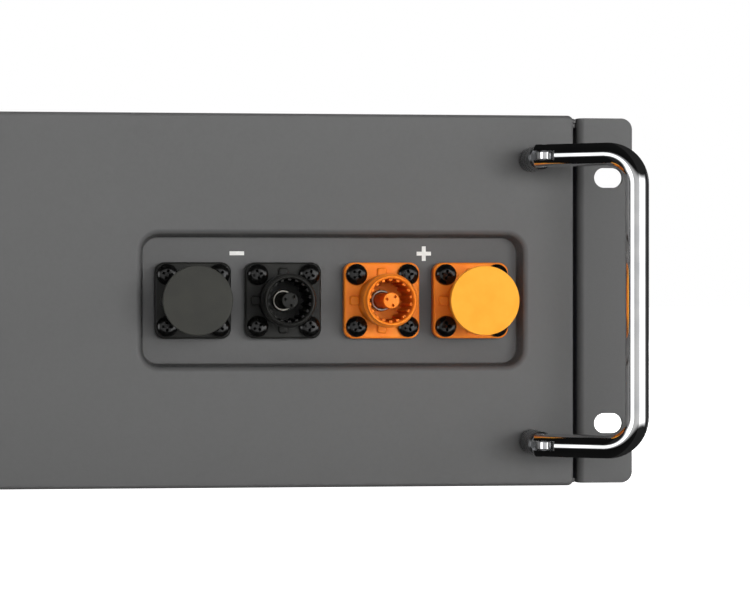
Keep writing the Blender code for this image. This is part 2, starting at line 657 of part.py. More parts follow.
def cap_mesh():
    """Dust cap: a round disc over the shell's lip, and a hollow plug inside the bore."""
    plug = BORE_RADIUS - GAP
    back = SHELL_LENGTH + GAP
    front = back + CAP_THICK
    return turned_mesh("cap", [
        (0.0, back), (plug - CAP_PLUG_WALL, back), (plug - CAP_PLUG_WALL, back - CAP_PLUG_LENGTH),
        (plug, back - CAP_PLUG_LENGTH), (plug, back), (CAP_RADIUS - CAP_EDGE, back), (CAP_RADIUS, back + CAP_EDGE),
        (CAP_RADIUS, front - CAP_EDGE), (CAP_RADIUS - CAP_EDGE, front), (0.0, front),
    ])


def make_connectors():
    """Four panel sockets, black for negative and orange for positive; the outer two are capped."""
    housing = housing_mesh()
    gasket = gasket_mesh()
    contact = contact_mesh()
    guard = guard_mesh()
    screw = screw_mesh()
    cap = cap_mesh()
    for name, x in SOCKETS:
        place = (x, FLANGE_FRONT, MID_Z)
        plastic = "black_nylon" if name.startswith("negative") else "orange_nylon"
        add_object("socket_housing_" + name, housing.copy(), plastic, place)
        behind = (x, FLANGE_FRONT + FLANGE_THICK + GAP, MID_Z)
        add_object("socket_gasket_" + name, gasket.copy(), "black_rubber", behind)
        add_object("socket_contact_" + name, contact.copy(), "silvered_copper", place)
        add_object("touch_guard_" + name, guard.copy(), plastic, place)
        for number, (screw_x, screw_z) in enumerate(screw_places(x), 1):
            screw_name = "flange_screw_" + name + "_" + str(number)
            add_object(screw_name, screw.copy(), "black_steel", (screw_x, FLANGE_FRONT, screw_z))
        if name.endswith("outer"):
            add_object("dust_cap_" + name.split("_")[0], cap.copy(), plastic, place)


def button_x():
    """Centre of the power button, at the outer end of the left pocket."""
    return -POCKET_X - FLOOR_WIDTH / 2.0 + 4.0 * BUTTON_RADIUS


def lens_centre():
    """Centre (x, z) of the indicator lens, beside the button."""
    return (button_x() + 2.0 * BUTTON_RADIUS + LENS_LENGTH / 2.0, MID_Z)


def port_block_x():
    """Centre of the twin data port, at the inner end of the left pocket."""
    return FLOOR_WIDTH / 2.0 - POCKET_X - PORT_FROM_END - PORT_STEP / 2.0


def make_controls():
    """Power button, indicator lens and twin data port in the left pocket."""
    head = turned_mesh("button", [
        (0.0, -SHEET - GAP - BUTTON_TRAVEL), (BUTTON_RADIUS + BUTTON_COLLAR, -SHEET - GAP - BUTTON_TRAVEL),
        (BUTTON_RADIUS + BUTTON_COLLAR, -SHEET - GAP), (BUTTON_RADIUS, -SHEET - GAP),
        (BUTTON_RADIUS, BUTTON_PROUD - BUTTON_EDGE), (BUTTON_RADIUS - BUTTON_EDGE, BUTTON_PROUD), (0.0, BUTTON_PROUD),
    ])
    add_object("power_button", head, "black_nylon", (button_x(), FLOOR_FRONT, MID_Z))
    front = FLOOR_FRONT - LENS_PROUD
    lens = rounded_plate_mesh(
        "lens", LENS_LENGTH, LENS_HEIGHT, LENS_HEIGHT / 2.0 - GAP, front, FLOOR_BACK, lens_centre()
    )
    add_object("indicator_lens", lens, "smoked_lens")
    middle = port_block_x()
    face = FLOOR_FRONT - PORT_PROUD
    half_width = (PORT_STEP + PORT_WIDTH) / 2.0
    half_height = PORT_HEIGHT / 2.0
    body = block_mesh(
        "port", (middle - half_width, face, MID_Z - half_height),
        (middle + half_width, face + PORT_LENGTH, MID_Z + half_height),
    )
    port = add_object("data_port_block", body, "black_nylon")
    mouth_half = PORT_WIDTH / 2.0 - PORT_WALL
    mouths = [
        block_mesh(
            "mouth", (x - mouth_half, face - PORT_WALL, MID_Z - half_height + PORT_WALL),
            (x + mouth_half, face + PORT_LENGTH - PORT_WALL, MID_Z + half_height - PORT_WALL),
        )
        for x in (middle - PORT_STEP / 2.0, middle + PORT_STEP / 2.0)
    ]
    combine(port, add_cutter("port_mouths", joined_mesh("port_mouths", mouths)), "DIFFERENCE")


def bank_mesh(name, front):
    """A row of cells side by side, with a groove between the tops of neighbours."""
    step = 2.0 * BANK_HALF / CELLS_PER_BANK
    outline = [(-BANK_HALF, BANK_BOTTOM), (BANK_HALF, BANK_BOTTOM), (BANK_HALF, BANK_TOP)]
    for number in range(CELLS_PER_BANK - 1, 0, -1):
        x = number * step - BANK_HALF
        edges = (x + CELL_GROOVE / 2.0, x - CELL_GROOVE / 2.0)
        low = BANK_TOP - CELL_GROOVE_DEPTH
        outline += [(edges[0], BANK_TOP), (edges[0], low), (edges[1], low), (edges[1], BANK_TOP)]
    outline.append((-BANK_HALF, BANK_TOP))
    return lofted_mesh(name, [[(x, y, z) for x, z in outline] for y in (front, front + BANK_DEPTH)])


def make_battery():
    """Two banks of cells, their link, the busbars to the sockets and the board."""
    rear_front = BANK_FRONT + BANK_DEPTH + BANK_SPACE
    add_object("cell_bank_front", bank_mesh("cell_bank_front", BANK_FRONT), "blue_cell_wrap")
    add_object("cell_bank_rear", bank_mesh("cell_bank_rear", rear_front), "blue_cell_wrap")
    link_low = (GAP - BANK_HALF, rear_front - BANK_SPACE - LINK_OVERLAP, BANK_TOP + GAP)
    link_high = (GAP - BANK_HALF + LINK_WIDTH, rear_front + LINK_OVERLAP, BANK_TOP + GAP + BUSBAR_THICK)
    add_object("bank_link", block_mesh("bank_link", link_low, link_high), "copper")
    bar_front = FLANGE_FRONT + CONTACT_TAIL - 3.0 * BUSBAR_THICK
    bar_top = BANK_TOP + GAP + BUSBAR_THICK
    for polarity, side in (("negative", -1.0), ("positive", 1.0)):
        middle = POCKET_X + side * POLARITY_STEP / 2.0
        half = PAIR_STEP / 2.0 + BUSBAR_SIDE
        outline = [
            (bar_front, MID_Z - BUSBAR_SIDE), (bar_front + BUSBAR_THICK, MID_Z - BUSBAR_SIDE),
            (bar_front + BUSBAR_THICK, bar_top - BUSBAR_THICK), (BANK_FRONT + BUSBAR_OVERLAP, bar_top - BUSBAR_THICK),
            (BANK_FRONT + BUSBAR_OVERLAP, bar_top), (bar_front, bar_top),
        ]
        rings = [[(x, y, z) for y, z in outline] for x in (middle - half, middle + half)]
        bar = add_object("busbar_" + polarity, lofted_mesh("busbar", rings), "copper")
        holes = [
            rod_mesh("hole", STUD_RADIUS + GAP, bar_front - SHEET, bar_front + 2.0 * SHEET, x, MID_Z, ROUND)
            for x in (middle - PAIR_STEP / 2.0, middle + PAIR_STEP / 2.0)
        ]
        combine(bar, add_cutter("busbar_holes_" + polarity, joined_mesh("busbar_holes", holes)), "DIFFERENCE")
    board_back = BANK_FRONT - BOARD_BEHIND_BANK
    board_low = (BOARD_MARGIN - INNER_HALF, board_back - BOARD_THICK, BOARD_MARGIN)
    board_high = (-BOARD_MARGIN, board_back, BODY_HEIGHT - BOARD_MARGIN - LID_LIP)
    add_object("battery_management_board", block_mesh("board", board_low, board_high), "green_board")


def main():
    for leftover in list(bpy.data.objects):
        bpy.data.objects.remove(leftover, do_unlink=True)
    make_chassis()
    make_top_cover()
    make_front_panel()
    make_pocket_trays()
    for side, sign in SIDES:
        make_rack_ear(side, sign)
    make_handles()
    make_connectors()
    make_controls()
    make_battery()


main()
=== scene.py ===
"""Looks of the battery box: every visible piece in fine mesh, with its finish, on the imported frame."""
import json
import math

import bmesh
import bpy
from mathutils import Matrix, Vector


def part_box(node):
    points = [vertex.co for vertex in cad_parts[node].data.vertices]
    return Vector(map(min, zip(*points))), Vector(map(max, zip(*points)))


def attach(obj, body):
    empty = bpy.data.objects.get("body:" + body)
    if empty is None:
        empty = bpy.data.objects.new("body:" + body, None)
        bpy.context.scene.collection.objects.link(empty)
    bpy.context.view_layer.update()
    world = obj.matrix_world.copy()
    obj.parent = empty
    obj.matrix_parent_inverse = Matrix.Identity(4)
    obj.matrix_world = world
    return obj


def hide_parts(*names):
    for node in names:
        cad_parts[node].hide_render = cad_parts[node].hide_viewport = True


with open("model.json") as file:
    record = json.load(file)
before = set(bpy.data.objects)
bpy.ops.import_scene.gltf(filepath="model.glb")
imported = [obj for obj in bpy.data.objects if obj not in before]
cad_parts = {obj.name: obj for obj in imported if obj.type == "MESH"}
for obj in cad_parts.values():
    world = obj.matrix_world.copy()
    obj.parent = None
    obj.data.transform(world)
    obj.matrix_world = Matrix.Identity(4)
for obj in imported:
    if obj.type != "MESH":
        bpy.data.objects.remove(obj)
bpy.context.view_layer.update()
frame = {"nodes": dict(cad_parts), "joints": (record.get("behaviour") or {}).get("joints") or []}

MM = 0.001
QUARTER = math.pi / 2.0

# Places read from the frame
PANEL_LOW, PANEL_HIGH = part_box("front_panel")
CHASSIS_LOW, CHASSIS_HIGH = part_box("chassis")
LID_LOW, LID_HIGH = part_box("top_cover")
MID_Z = (PANEL_LOW.z + PANEL_HIGH.z) / 2.0
FACE = PANEL_LOW.y                     # the panel's front plane
SOCKET_NAMES = ("negative_outer", "negative_inner", "positive_inner", "positive_outer")
SIDES = (("right", 1.0), ("left", -1.0))
LEVELS = (("upper", 1.0), ("lower", -1.0))

# Sheet metal
SHEET = 1.5 * MM
PANEL_CORNER = 2.0 * MM
PANEL_ROLL = 1.3 * MM
POCKET_DEPTH = 9.8 * MM
POCKET_DRAFT = 0.7 * MM
POCKET_RIM = 2.0 * MM
POCKET_ROOT = 0.5 * MM
POCKET_CORNER = 8.1 * MM
POCKET_MARGIN = (4.15 * MM, 9.1 * MM)  # from the flanges to the pocket's floor edge, along X and Z
EAR_THICK = 2.0 * MM
EAR_SCREW_HEAD = (3.4 * MM, 1.9 * MM)  # radius and height
EAR_BEND = 2.6 * MM
EAR_CORNER = 4.0 * MM
SLOT_SIZE = (10.4 * MM, 7.2 * MM)
SLOT_PITCH = 88.9 * MM
SLOT_FROM_EDGE = 8.75 * MM
SHEET_EDGE = 0.8 * MM                  # outer radius of the case's folded edges

# Handles
BAIL_RADIUS = 4.0 * MM
BAIL_PITCH = 100.0 * MM                # between the middles of the two legs
BAIL_REACH = 32.8 * MM
BAIL_BEND = 10.5 * MM
BAIL_TAIL = 3.6 * MM
FORK_ROOT = 4.5 * MM
TONGUE = (5.8 * MM, 2.6 * MM)          # width and thickness
POST_RADIUS = 4.25 * MM
POST_HEIGHT = 20.0 * MM
PIVOT_HEIGHT = 26.0 * MM
PIN_RADIUS = 1.2 * MM
RUN_GAP = 0.3 * MM
BAIL_LEAN = math.radians(60.0)

# Sockets
FLANGE = 27.0 * MM
FLANGE_CORNER = 3.4 * MM
FLANGE_THICK = 4.6 * MM
NECK_RADIUS = 8.2 * MM
COLLAR_RADIUS = 9.4 * MM
LIP_RADIUS = 8.7 * MM
BORE_RADIUS = 7.6 * MM
BORE_DEPTH = 3.0 * MM
SHELL_LENGTH = 25.4 * MM
BOSS_RADIUS = 9.0 * MM
BOSS_END = 16.3 * MM
RIB_COUNT = 18
RIB = (1.1 * MM, 0.8 * MM)             # width and height of a coding rib
RIB_FRONT = 22.5 * MM
LUG = (3.4 * MM, 11.6 * MM, 1.5 * MM)   # width, reach from the axis, height
CONTACT_RADIUS = 3.6 * MM
CONTACT_WALL = 0.5 * MM
GUARD_RADIUS = 2.8 * MM
GUARD_FRONT = 24.6 * MM
GUARD_HOLE = 0.55 * MM
GUARD_HOLE_RING = 1.75 * MM
SCREW_PITCH = 18.4 * MM
SCREW_HEAD = (3.8 * MM, 3.0 * MM)      # radius and height
CAP_RADIUS = 12.0 * MM
CAP_BACK = 25.7 * MM
CAP_THICK = 3.4 * MM

# Controls
PORT_STEP = 24.0 * MM
LIGHT_COUNT = 6
LIGHT_STEP = 6.6 * MM
LIGHT_SIZE = (3.2 * MM, 1.6 * MM)

# Studio
GLOW = 0.14
BOX_POWER = 1.9
SOFT_BOXES = (                         # place from left (0) to right (1), and grey
    (0.0, 0.05), (0.02, 1.0), (0.13, 1.0), (0.16, 0.25),
    (0.57, 0.35), (0.6, 1.0), (0.95, 1.0), (0.98, 0.05),
)
CAMERA_X = 30.1 * MM
CAMERA_DISTANCE = 860.0 * MM           # from the panel's face
CAMERA_TURN = math.radians(5.635)

# Round shapes
FINE = 64
MEDIUM = 32
SMALL = 20


# ---------------------------------------------------------------- materials

def linear(code):
    """Linear colour of an sRGB hex value such as 'a0a0a0'."""
    channels = [int(code[i:i + 2], 16) / 255.0 for i in (0, 2, 4)]
    return tuple(c / 12.92 if c <= 0.04045 else ((c + 0.055) / 1.055) ** 2.4 for c in channels) + (1.0,)


def add_node(owner, kind, settings=None, links=None):
    """Add a node to a material or world: settings go to its properties or sockets, links to its sockets."""
    node = owner.node_tree.nodes.new(kind)
    for key, value in (settings or {}).items():
        if isinstance(key, str) and hasattr(node, key):
            setattr(node, key, value)
        else:
            node.inputs[key].default_value = value
    for key, source in (links or {}).items():
        owner.node_tree.links.new(source, node.inputs[key])
    return node


def new_material(name, roughness, metallic=0.0, **sockets):
    """A material whose shader's constants sit on its own sockets."""
    material = bpy.data.materials.new(name)
    material.use_nodes = True
    shader = material.node_tree.nodes["Principled BSDF"]
    shader.inputs["Roughness"].default_value = roughness
    shader.inputs["Metallic"].default_value = metallic
    for socket, value in sockets.items():
        shader.inputs[socket.replace("_", " ")].default_value = value
    return material, shader


def noise(material, size, detail=2.0, stretch=(1.0, 1.0, 1.0)):
    """Noise whose features are about size metres across, longer where stretch is over 1."""
    place = add_node(material, "ShaderNodeTexCoord").outputs["Object"]
    scale = tuple(1.0 / s for s in stretch)
    mapped = add_node(material, "ShaderNodeMapping", {"Scale": scale}, {"Vector": place})
    return add_node(
        material, "ShaderNodeTexNoise", {"Scale": 1.0 / size, "Detail": detail},
        {"Vector": mapped.outputs["Vector"]},
    ).outputs["Fac"]


def tones(material, shader, factor, dark, light, low=0.35, high=0.65):
    """Base colour that drifts between two tones as factor goes from low to high."""
    spread = add_node(
        material, "ShaderNodeMapRange", {"From Min": low, "From Max": high}, {"Value": factor}
    ).outputs["Result"]
    mix = add_node(
        material, "ShaderNodeMix", {"data_type": "RGBA", 6: linear(dark), 7: linear(light)}, {0: spread}
    )
    material.node_tree.links.new(mix.outputs[2], shader.inputs["Base Color"])
    return spread


def vary_roughness(material, shader, factor, low, high):
    """Roughness that follows factor between two values."""
    spread = add_node(
        material, "ShaderNodeMapRange",
        {"From Min": 0.3, "From Max": 0.7, "To Min": low, "To Max": high}, {"Value": factor},
    )
    material.node_tree.links.new(spread.outputs["Result"], shader.inputs["Roughness"])


def relief(material, shader, height, depth, strength=1.0):
    """Bump of the given depth in metres."""
    bump = add_node(
        material, "ShaderNodeBump", {"Strength": strength, "Distance": depth}, {"Height": height}
    )
    material.node_tree.links.new(bump.outputs["Normal"], shader.inputs["Normal"])


def powder_coat(name, dark, light, roughness):
    """Polyester powder coat on steel: satin, with a faint orange peel and drift in tone."""
    material, shader = new_material(name, roughness)
    tones(material, shader, noise(material, 90.0 * MM), dark, light)
    # The peel of the real coat is about 0.5 mm across; it is drawn at 1.2 mm so that it shows.
    peel = noise(material, 1.2 * MM, 1.0)
    vary_roughness(material, shader, peel, roughness - 0.05, roughness + 0.07)
    relief(material, shader, peel, 0.02 * MM, 0.5)
    return material


def moulded_nylon(name, dark, light, roughness, specular=0.5):
    """Glass-filled nylon: satin, with a fine spark-eroded grain and faint flow marks."""
    material, shader = new_material(name, roughness, Specular_IOR_Level=specular, IOR=1.53)
    tones(material, shader, noise(material, 6.0 * MM, 3.0, (1.0, 2.5, 1.0)), dark, light)
    grain = noise(material, 0.35 * MM, 2.0)
    vary_roughness(material, shader, grain, roughness - 0.06, roughness + 0.08)
    relief(material, shader, grain, 0.012 * MM, 0.5)
    return material


def chrome_plate():
    """Bright chrome on steel: a mirror with a few polishing streaks along the bar."""
    material, shader = new_material("chrome_plate", 0.05, 1.0)
    tones(material, shader, noise(material, 8.0 * MM), "e2e3e5", "f2f2f2")
    streaks = noise(material, 0.5 * MM, 2.0, (1.0, 1.0, 30.0))
    vary_roughness(material, shader, streaks, 0.03, 0.09)
    return material


def satin_chrome():
    """Satin chrome of the turned handle posts, given a dark grey base that paints in the dark surroundings it
    mirrors (painted reflection): fine rings from the lathe.
    """
    material, shader = new_material("satin_chrome_post_painted_dark", 0.3, 1.0)
    rings = noise(material, 0.3 * MM, 2.0, (20.0, 1.0, 20.0))
    # These dark grey tones are painted reflection: they stand in for the dark that the posts mirror, far
    # below the brightness of real chrome.
    tones(material, shader, rings, "5e5f61", "77787a")
    vary_roughness(material, shader, rings, 0.2, 0.34)
    relief(material, shader, rings, 0.01 * MM, 0.4)
    return material


def silver_plate():
    """Silver-plated copper of the contacts: bright and slightly warm."""
    material, shader = new_material("silver_plated_contact", 0.3, 1.0)
    tones(material, shader, noise(material, 1.5 * MM, 3.0), "dcd6c8", "f4f0e6")
    return material


def black_oxide_steel():
    """Black oxide on cross-recess screws: oily, glossy and nearly black."""
    material, shader = new_material("black_oxide_screw", 0.12, 0.0, Specular_IOR_Level=0.6)
    worn = noise(material, 1.2 * MM, 4.0)
    tones(material, shader, worn, "050505", "121211", 0.4, 0.75)
    vary_roughness(material, shader, worn, 0.08, 0.22)
    return material


def bare_metal(name, dark, light, roughness, grain_along=(30.0, 1.0, 1.0)):
    """Rolled metal bar or zinc: fine parallel grain from the rolling mill."""
    material, shader = new_material(name, roughness, 1.0)
    grain = noise(material, 0.4 * MM, 3.0, grain_along)
    tones(material, shader, grain, dark, light)
    vary_roughness(material, shader, grain, roughness - 0.08, roughness + 0.08)
    relief(material, shader, grain, 0.008 * MM, 0.4)
    return material


def smooth_plastic(name, dark, light, roughness, cloud=10.0 * MM):
    """Plain smooth plastic, ceramic or film: even, with slight mottling."""
    material, shader = new_material(name, roughness)
    cloudy = noise(material, cloud, 3.0)
    tones(material, shader, cloudy, dark, light)
    vary_roughness(material, shader, cloudy, roughness * 0.85, roughness * 1.15)
    return material


def soft_rubber():
    """Die-cut rubber of the gaskets: dull, with a dusty bloom."""
    material, shader = new_material("gasket_rubber", 0.85, Specular_IOR_Level=0.3)
    bloom = noise(material, 2.0 * MM, 4.0)
    tones(material, shader, bloom, "0c0c0c", "1c1c1b")
    relief(material, shader, bloom, 0.02 * MM, 0.5)
    return material


def board_laminate():
    """Solder mask on a circuit board, with the copper pour showing as a paler green."""
    material, shader = new_material("board_laminate", 0.3)
    place = add_node(material, "ShaderNodeTexCoord").outputs["Object"]
    cells = add_node(
        material, "ShaderNodeTexVoronoi", {"distance": "CHEBYCHEV", "Scale": 1.0 / (9.0 * MM)},
        {"Vector": place},
    )
    tones(material, shader, cells.outputs["Distance"], "0b3d22", "15522f", 0.2, 0.5)
    return material


PANEL_COAT = powder_coat("grey_powder_coat", "545454", "555555", 0.5)
CASE_COAT = powder_coat("case_powder_coat", "555555", "575757", 0.52)
CHROME = chrome_plate()
# Posts and hinge pins: chrome whose dark grey base is painted reflection.
POST_CHROME_PAINTED_DARK = satin_chrome()
BLACK_NYLON = moulded_nylon("black_nylon", "1c1c1b", "222220", 0.42, 0.25)
BLACK_CAP = moulded_nylon("black_cap_nylon", "31312e", "353531", 0.55, 0.25)
ORANGE_NYLON = moulded_nylon("orange_nylon", "e87a1f", "f18828", 0.42, 0.25)
ORANGE_CAP = moulded_nylon("orange_cap_nylon", "f5a02c", "f8a734", 0.55, 0.25)
SILVER = silver_plate()
SCREW_BLACK = black_oxide_steel()
RUBBER = soft_rubber()
BUTTON_BLACK = moulded_nylon("control_black", "0f0f10", "151516", 0.35)
LENS = smooth_plastic("smoked_lens", "0a0c0d", "101314", 0.08)
PRINT = smooth_plastic("white_pad_print", "d8d8d4", "e4e4e0", 0.5, 2.0 * MM)
LED = smooth_plastic("led_window", "3c6b48", "4a7d56", 0.3)
COPPER = bare_metal("copper_bar", "b8734a", "c9845a", 0.3)
GOLD = bare_metal("gold_contact", "c9a24c", "dab660", 0.25)
ZINC = bare_metal("zinc_screw", "8d8f92", "a3a5a8", 0.35, (1.0, 1.0, 1.0))
CELL_WRAP = smooth_plastic("cell_wrap_film", "173f86", "1d4b9a", 0.3, 30.0 * MM)
BOARD = board_laminate()


# ---------------------------------------------------------------- mesh tools

def finish_mesh(bm, name):
    """Merge doubles, turn the faces outwards, and hand the shape over as a mesh."""
    bmesh.ops.remove_doubles(bm, verts=bm.verts, dist=1e-6)
    bmesh.ops.recalc_face_normals(bm, faces=bm.faces)
    mesh = bpy.data.meshes.new(name)
    bm.to_mesh(mesh)
    bm.free()
    return mesh


def as_object(bm, name):
    """A new object that holds the shape, with its place in its mesh."""
    piece = bpy.data.objects.new(name, finish_mesh(bm, name))
    bpy.context.scene.collection.objects.link(piece)
    return piece


def apply_modifiers(piece):
    """Replace the mesh by what its modifiers make of it."""
    graph = bpy.context.evaluated_depsgraph_get()
    made = bpy.data.meshes.new_from_object(piece.evaluated_get(graph))
    piece.modifiers.clear()
    piece.data = made
    return piece


def carve(piece, cutters):
    """Cut the cutters out of a piece one after the other, and delete them."""
    for cutter in cutters:
        boolean = piece.modifiers.new("cut", "BOOLEAN")
        boolean.operation = "DIFFERENCE"
        boolean.solver = "EXACT"
        boolean.object = cutter
    apply_modifiers(piece)
    for cutter in cutters:
        bpy.data.objects.remove(cutter, do_unlink=True)
    return piece


def complete(piece, body, material, nodes, smooth=40.0, edge=0.0):
    """Shade, round the edges, give the finish, join the piece to its body, and hide the CAD nodes it stands
    for.
    """
    if edge:
        bevel = piece.modifiers.new("edge", "BEVEL")
        bevel.width = edge
        bevel.segments = 2
        bevel.limit_method = "ANGLE"
        bevel.angle_limit = math.radians(40.0)
        apply_modifiers(piece)
    piece.data.materials.clear()
    piece.data.materials.append(material)
    piece.data.shade_smooth()
    piece.data.set_sharp_from_angle(angle=math.radians(smooth))
    weighted = piece.modifiers.new("flat_faces_first", "WEIGHTED_NORMAL")
    weighted.keep_sharp = True
    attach(piece, body)
    if nodes:
        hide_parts(*nodes)
    return piece


def rounded_face(bm, width, height, radius, y, segments=8, centre=(0.0, 0.0)):
    """A rounded rectangle across the Y axis, facing the front."""
    corners = ((-1, -1), (1, -1), (1, 1), (-1, 1))
    verts = [
        bm.verts.new((centre[0] + sx * width / 2.0, y, centre[1] + sz * height / 2.0)) for sx, sz in corners
    ]
    face = bm.faces.new(verts)
    face.normal_update()
    before = set(bm.faces) - {face}
    bmesh.ops.bevel(
        bm, geom=verts, offset=radius, offset_type="OFFSET", segments=segments, profile=0.5,
        affect="VERTICES", material=-1,
    )
    face = next(f for f in bm.faces if f not in before)
    face.normal_update()
    if face.normal.y > 0.0:
        face.normal_flip()
    return face


def step_in(bm, face, profile):
    """Inset a face and move it along its normal to each (inset, depth) of a profile in turn."""
    inset_now, depth_now = 0.0, 0.0
    for inset, depth in profile:
        bmesh.ops.inset_individual(
            bm, faces=[face], thickness=inset - inset_now, depth=depth - depth_now, use_even_offset=True
        )
        inset_now, depth_now = inset, depth
    return face


def pull(bm, face, distance):
    """Extrude a face along its normal and return the moved face."""
    normal = face.normal.copy()
    made = bmesh.ops.extrude_face_region(bm, geom=[face])["geom"]
    verts = [g for g in made if isinstance(g, bmesh.types.BMVert)]
    bmesh.ops.translate(bm, verts=verts, vec=normal * distance)
    moved = next(g for g in made if isinstance(g, bmesh.types.BMFace))
    moved.normal_update()
    return moved


def arc(radius, steps, turn=QUARTER):
    """(inset, rise) along a quarter round that starts along the wall and ends along the face."""
    return [
        (radius * (1.0 - math.cos(turn * k / steps)), radius * math.sin(turn * k / steps))
        for k in range(1, steps + 1)
    ]


def slab(bm, width, height, radius, back, front, edge=0.0, centre=(0.0, 0.0), segments=8):
    """A rounded rectangular plate from back to front, with a rounded front edge."""
    face = rounded_face(bm, width, height, radius, back, segments, centre)
    face.copy().normal_flip()
    face = pull(bm, face, abs(back - front) - edge)
    if edge:
        step_in(bm, face, arc(edge, 4))


def turned(profile, segments=MEDIUM, bm=None, x=0.0, y=0.0, z=0.0):
    """Spin an outline of (radius, distance forward) about the axis through (x, y, z) along Y."""
    bm = bm or bmesh.new()
    verts = [bm.verts.new((x + radius, y - forward, z)) for radius, forward in profile]
    edges = [bm.edges.new(pair) for pair in zip(verts, verts[1:])]
    if profile[0][0] > 0.0:
        edges.append(bm.edges.new((verts[-1], verts[0])))
    bmesh.ops.spin(
        bm, geom=verts + edges, cent=(x, y, z), axis=(0.0, 1.0, 0.0), angle=2.0 * math.pi,
        steps=segments, use_merge=True,
    )
    return bm


def block(bm, low, high):
    """A plain block between two corners."""
    size = Vector(high) - Vector(low)
    middle = (Vector(high) + Vector(low)) / 2.0
    place = Matrix.Translation(middle) @ Matrix.Diagonal((*size, 1.0))
    return bmesh.ops.create_cube(bm, size=1.0, matrix=place)["verts"]


def rod(bm, radius, start, end, segments=SMALL):
    """A plain round bar between two points."""
    start, end = Vector(start), Vector(end)
    turn = (end - start).to_track_quat("Z", "Y").to_matrix().to_4x4()
    bmesh.ops.create_cone(
        bm, cap_ends=True, segments=segments, radius1=radius, radius2=radius,
        depth=(end - start).length, matrix=Matrix.Translation((start + end) / 2.0) @ turn,
    )
    return bm


def copied(bm, places):
    """One shape that repeats the mesh at each place, given as a matrix."""
    pattern = finish_mesh(bm, "pattern")
    repeated = bmesh.new()
    for place in places:
        known = set(repeated.verts)
        repeated.from_mesh(pattern)
        fresh = [v for v in repeated.verts if v not in known]
        bmesh.ops.transform(repeated, matrix=place, verts=fresh)
    bpy.data.meshes.remove(pattern)
    return repeated


# ---------------------------------------------------------------- places

def centre_of(node):
    """Middle of a CAD node's box."""
    low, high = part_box(node)
    return (low + high) / 2.0


SOCKET_X = {name: centre_of("socket_housing_" + name).x for name in SOCKET_NAMES}
FLANGE_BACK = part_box("socket_gasket_negative_outer")[0].y - RUN_GAP
FLANGE_FACE = FLANGE_BACK - FLANGE_THICK
FLOOR = FACE + POCKET_DEPTH
POCKET_X = sum(SOCKET_X.values()) / len(SOCKET_X)
FLOOR_SIZE = (
    SOCKET_X["positive_outer"] - SOCKET_X["negative_outer"] + FLANGE + 2.0 * POCKET_MARGIN[0],
    FLANGE + 2.0 * POCKET_MARGIN[1],
)


# ---------------------------------------------------------------- case and panel

def pocket_profile():
    """(inset, depth) from the panel's face over the rim, down the drafted wall, to the floor."""
    lean = math.atan2(POCKET_DRAFT, POCKET_DEPTH)
    turn = QUARTER - lean
    points = [
        (POCKET_RIM * math.sin(turn * k / 5.0), -POCKET_RIM * (1.0 - math.cos(turn * k / 5.0)))
        for k in range(1, 6)
    ]
    end_inset = POCKET_DRAFT + POCKET_RIM + POCKET_ROOT * math.tan(turn / 2.0)
    for k in range(0, 6):
        angle = turn * (1.0 - k / 5.0)
        inset = end_inset - POCKET_ROOT * math.sin(angle)
        points.append((inset, POCKET_ROOT * (1.0 - math.cos(angle)) - POCKET_DEPTH))
    return points


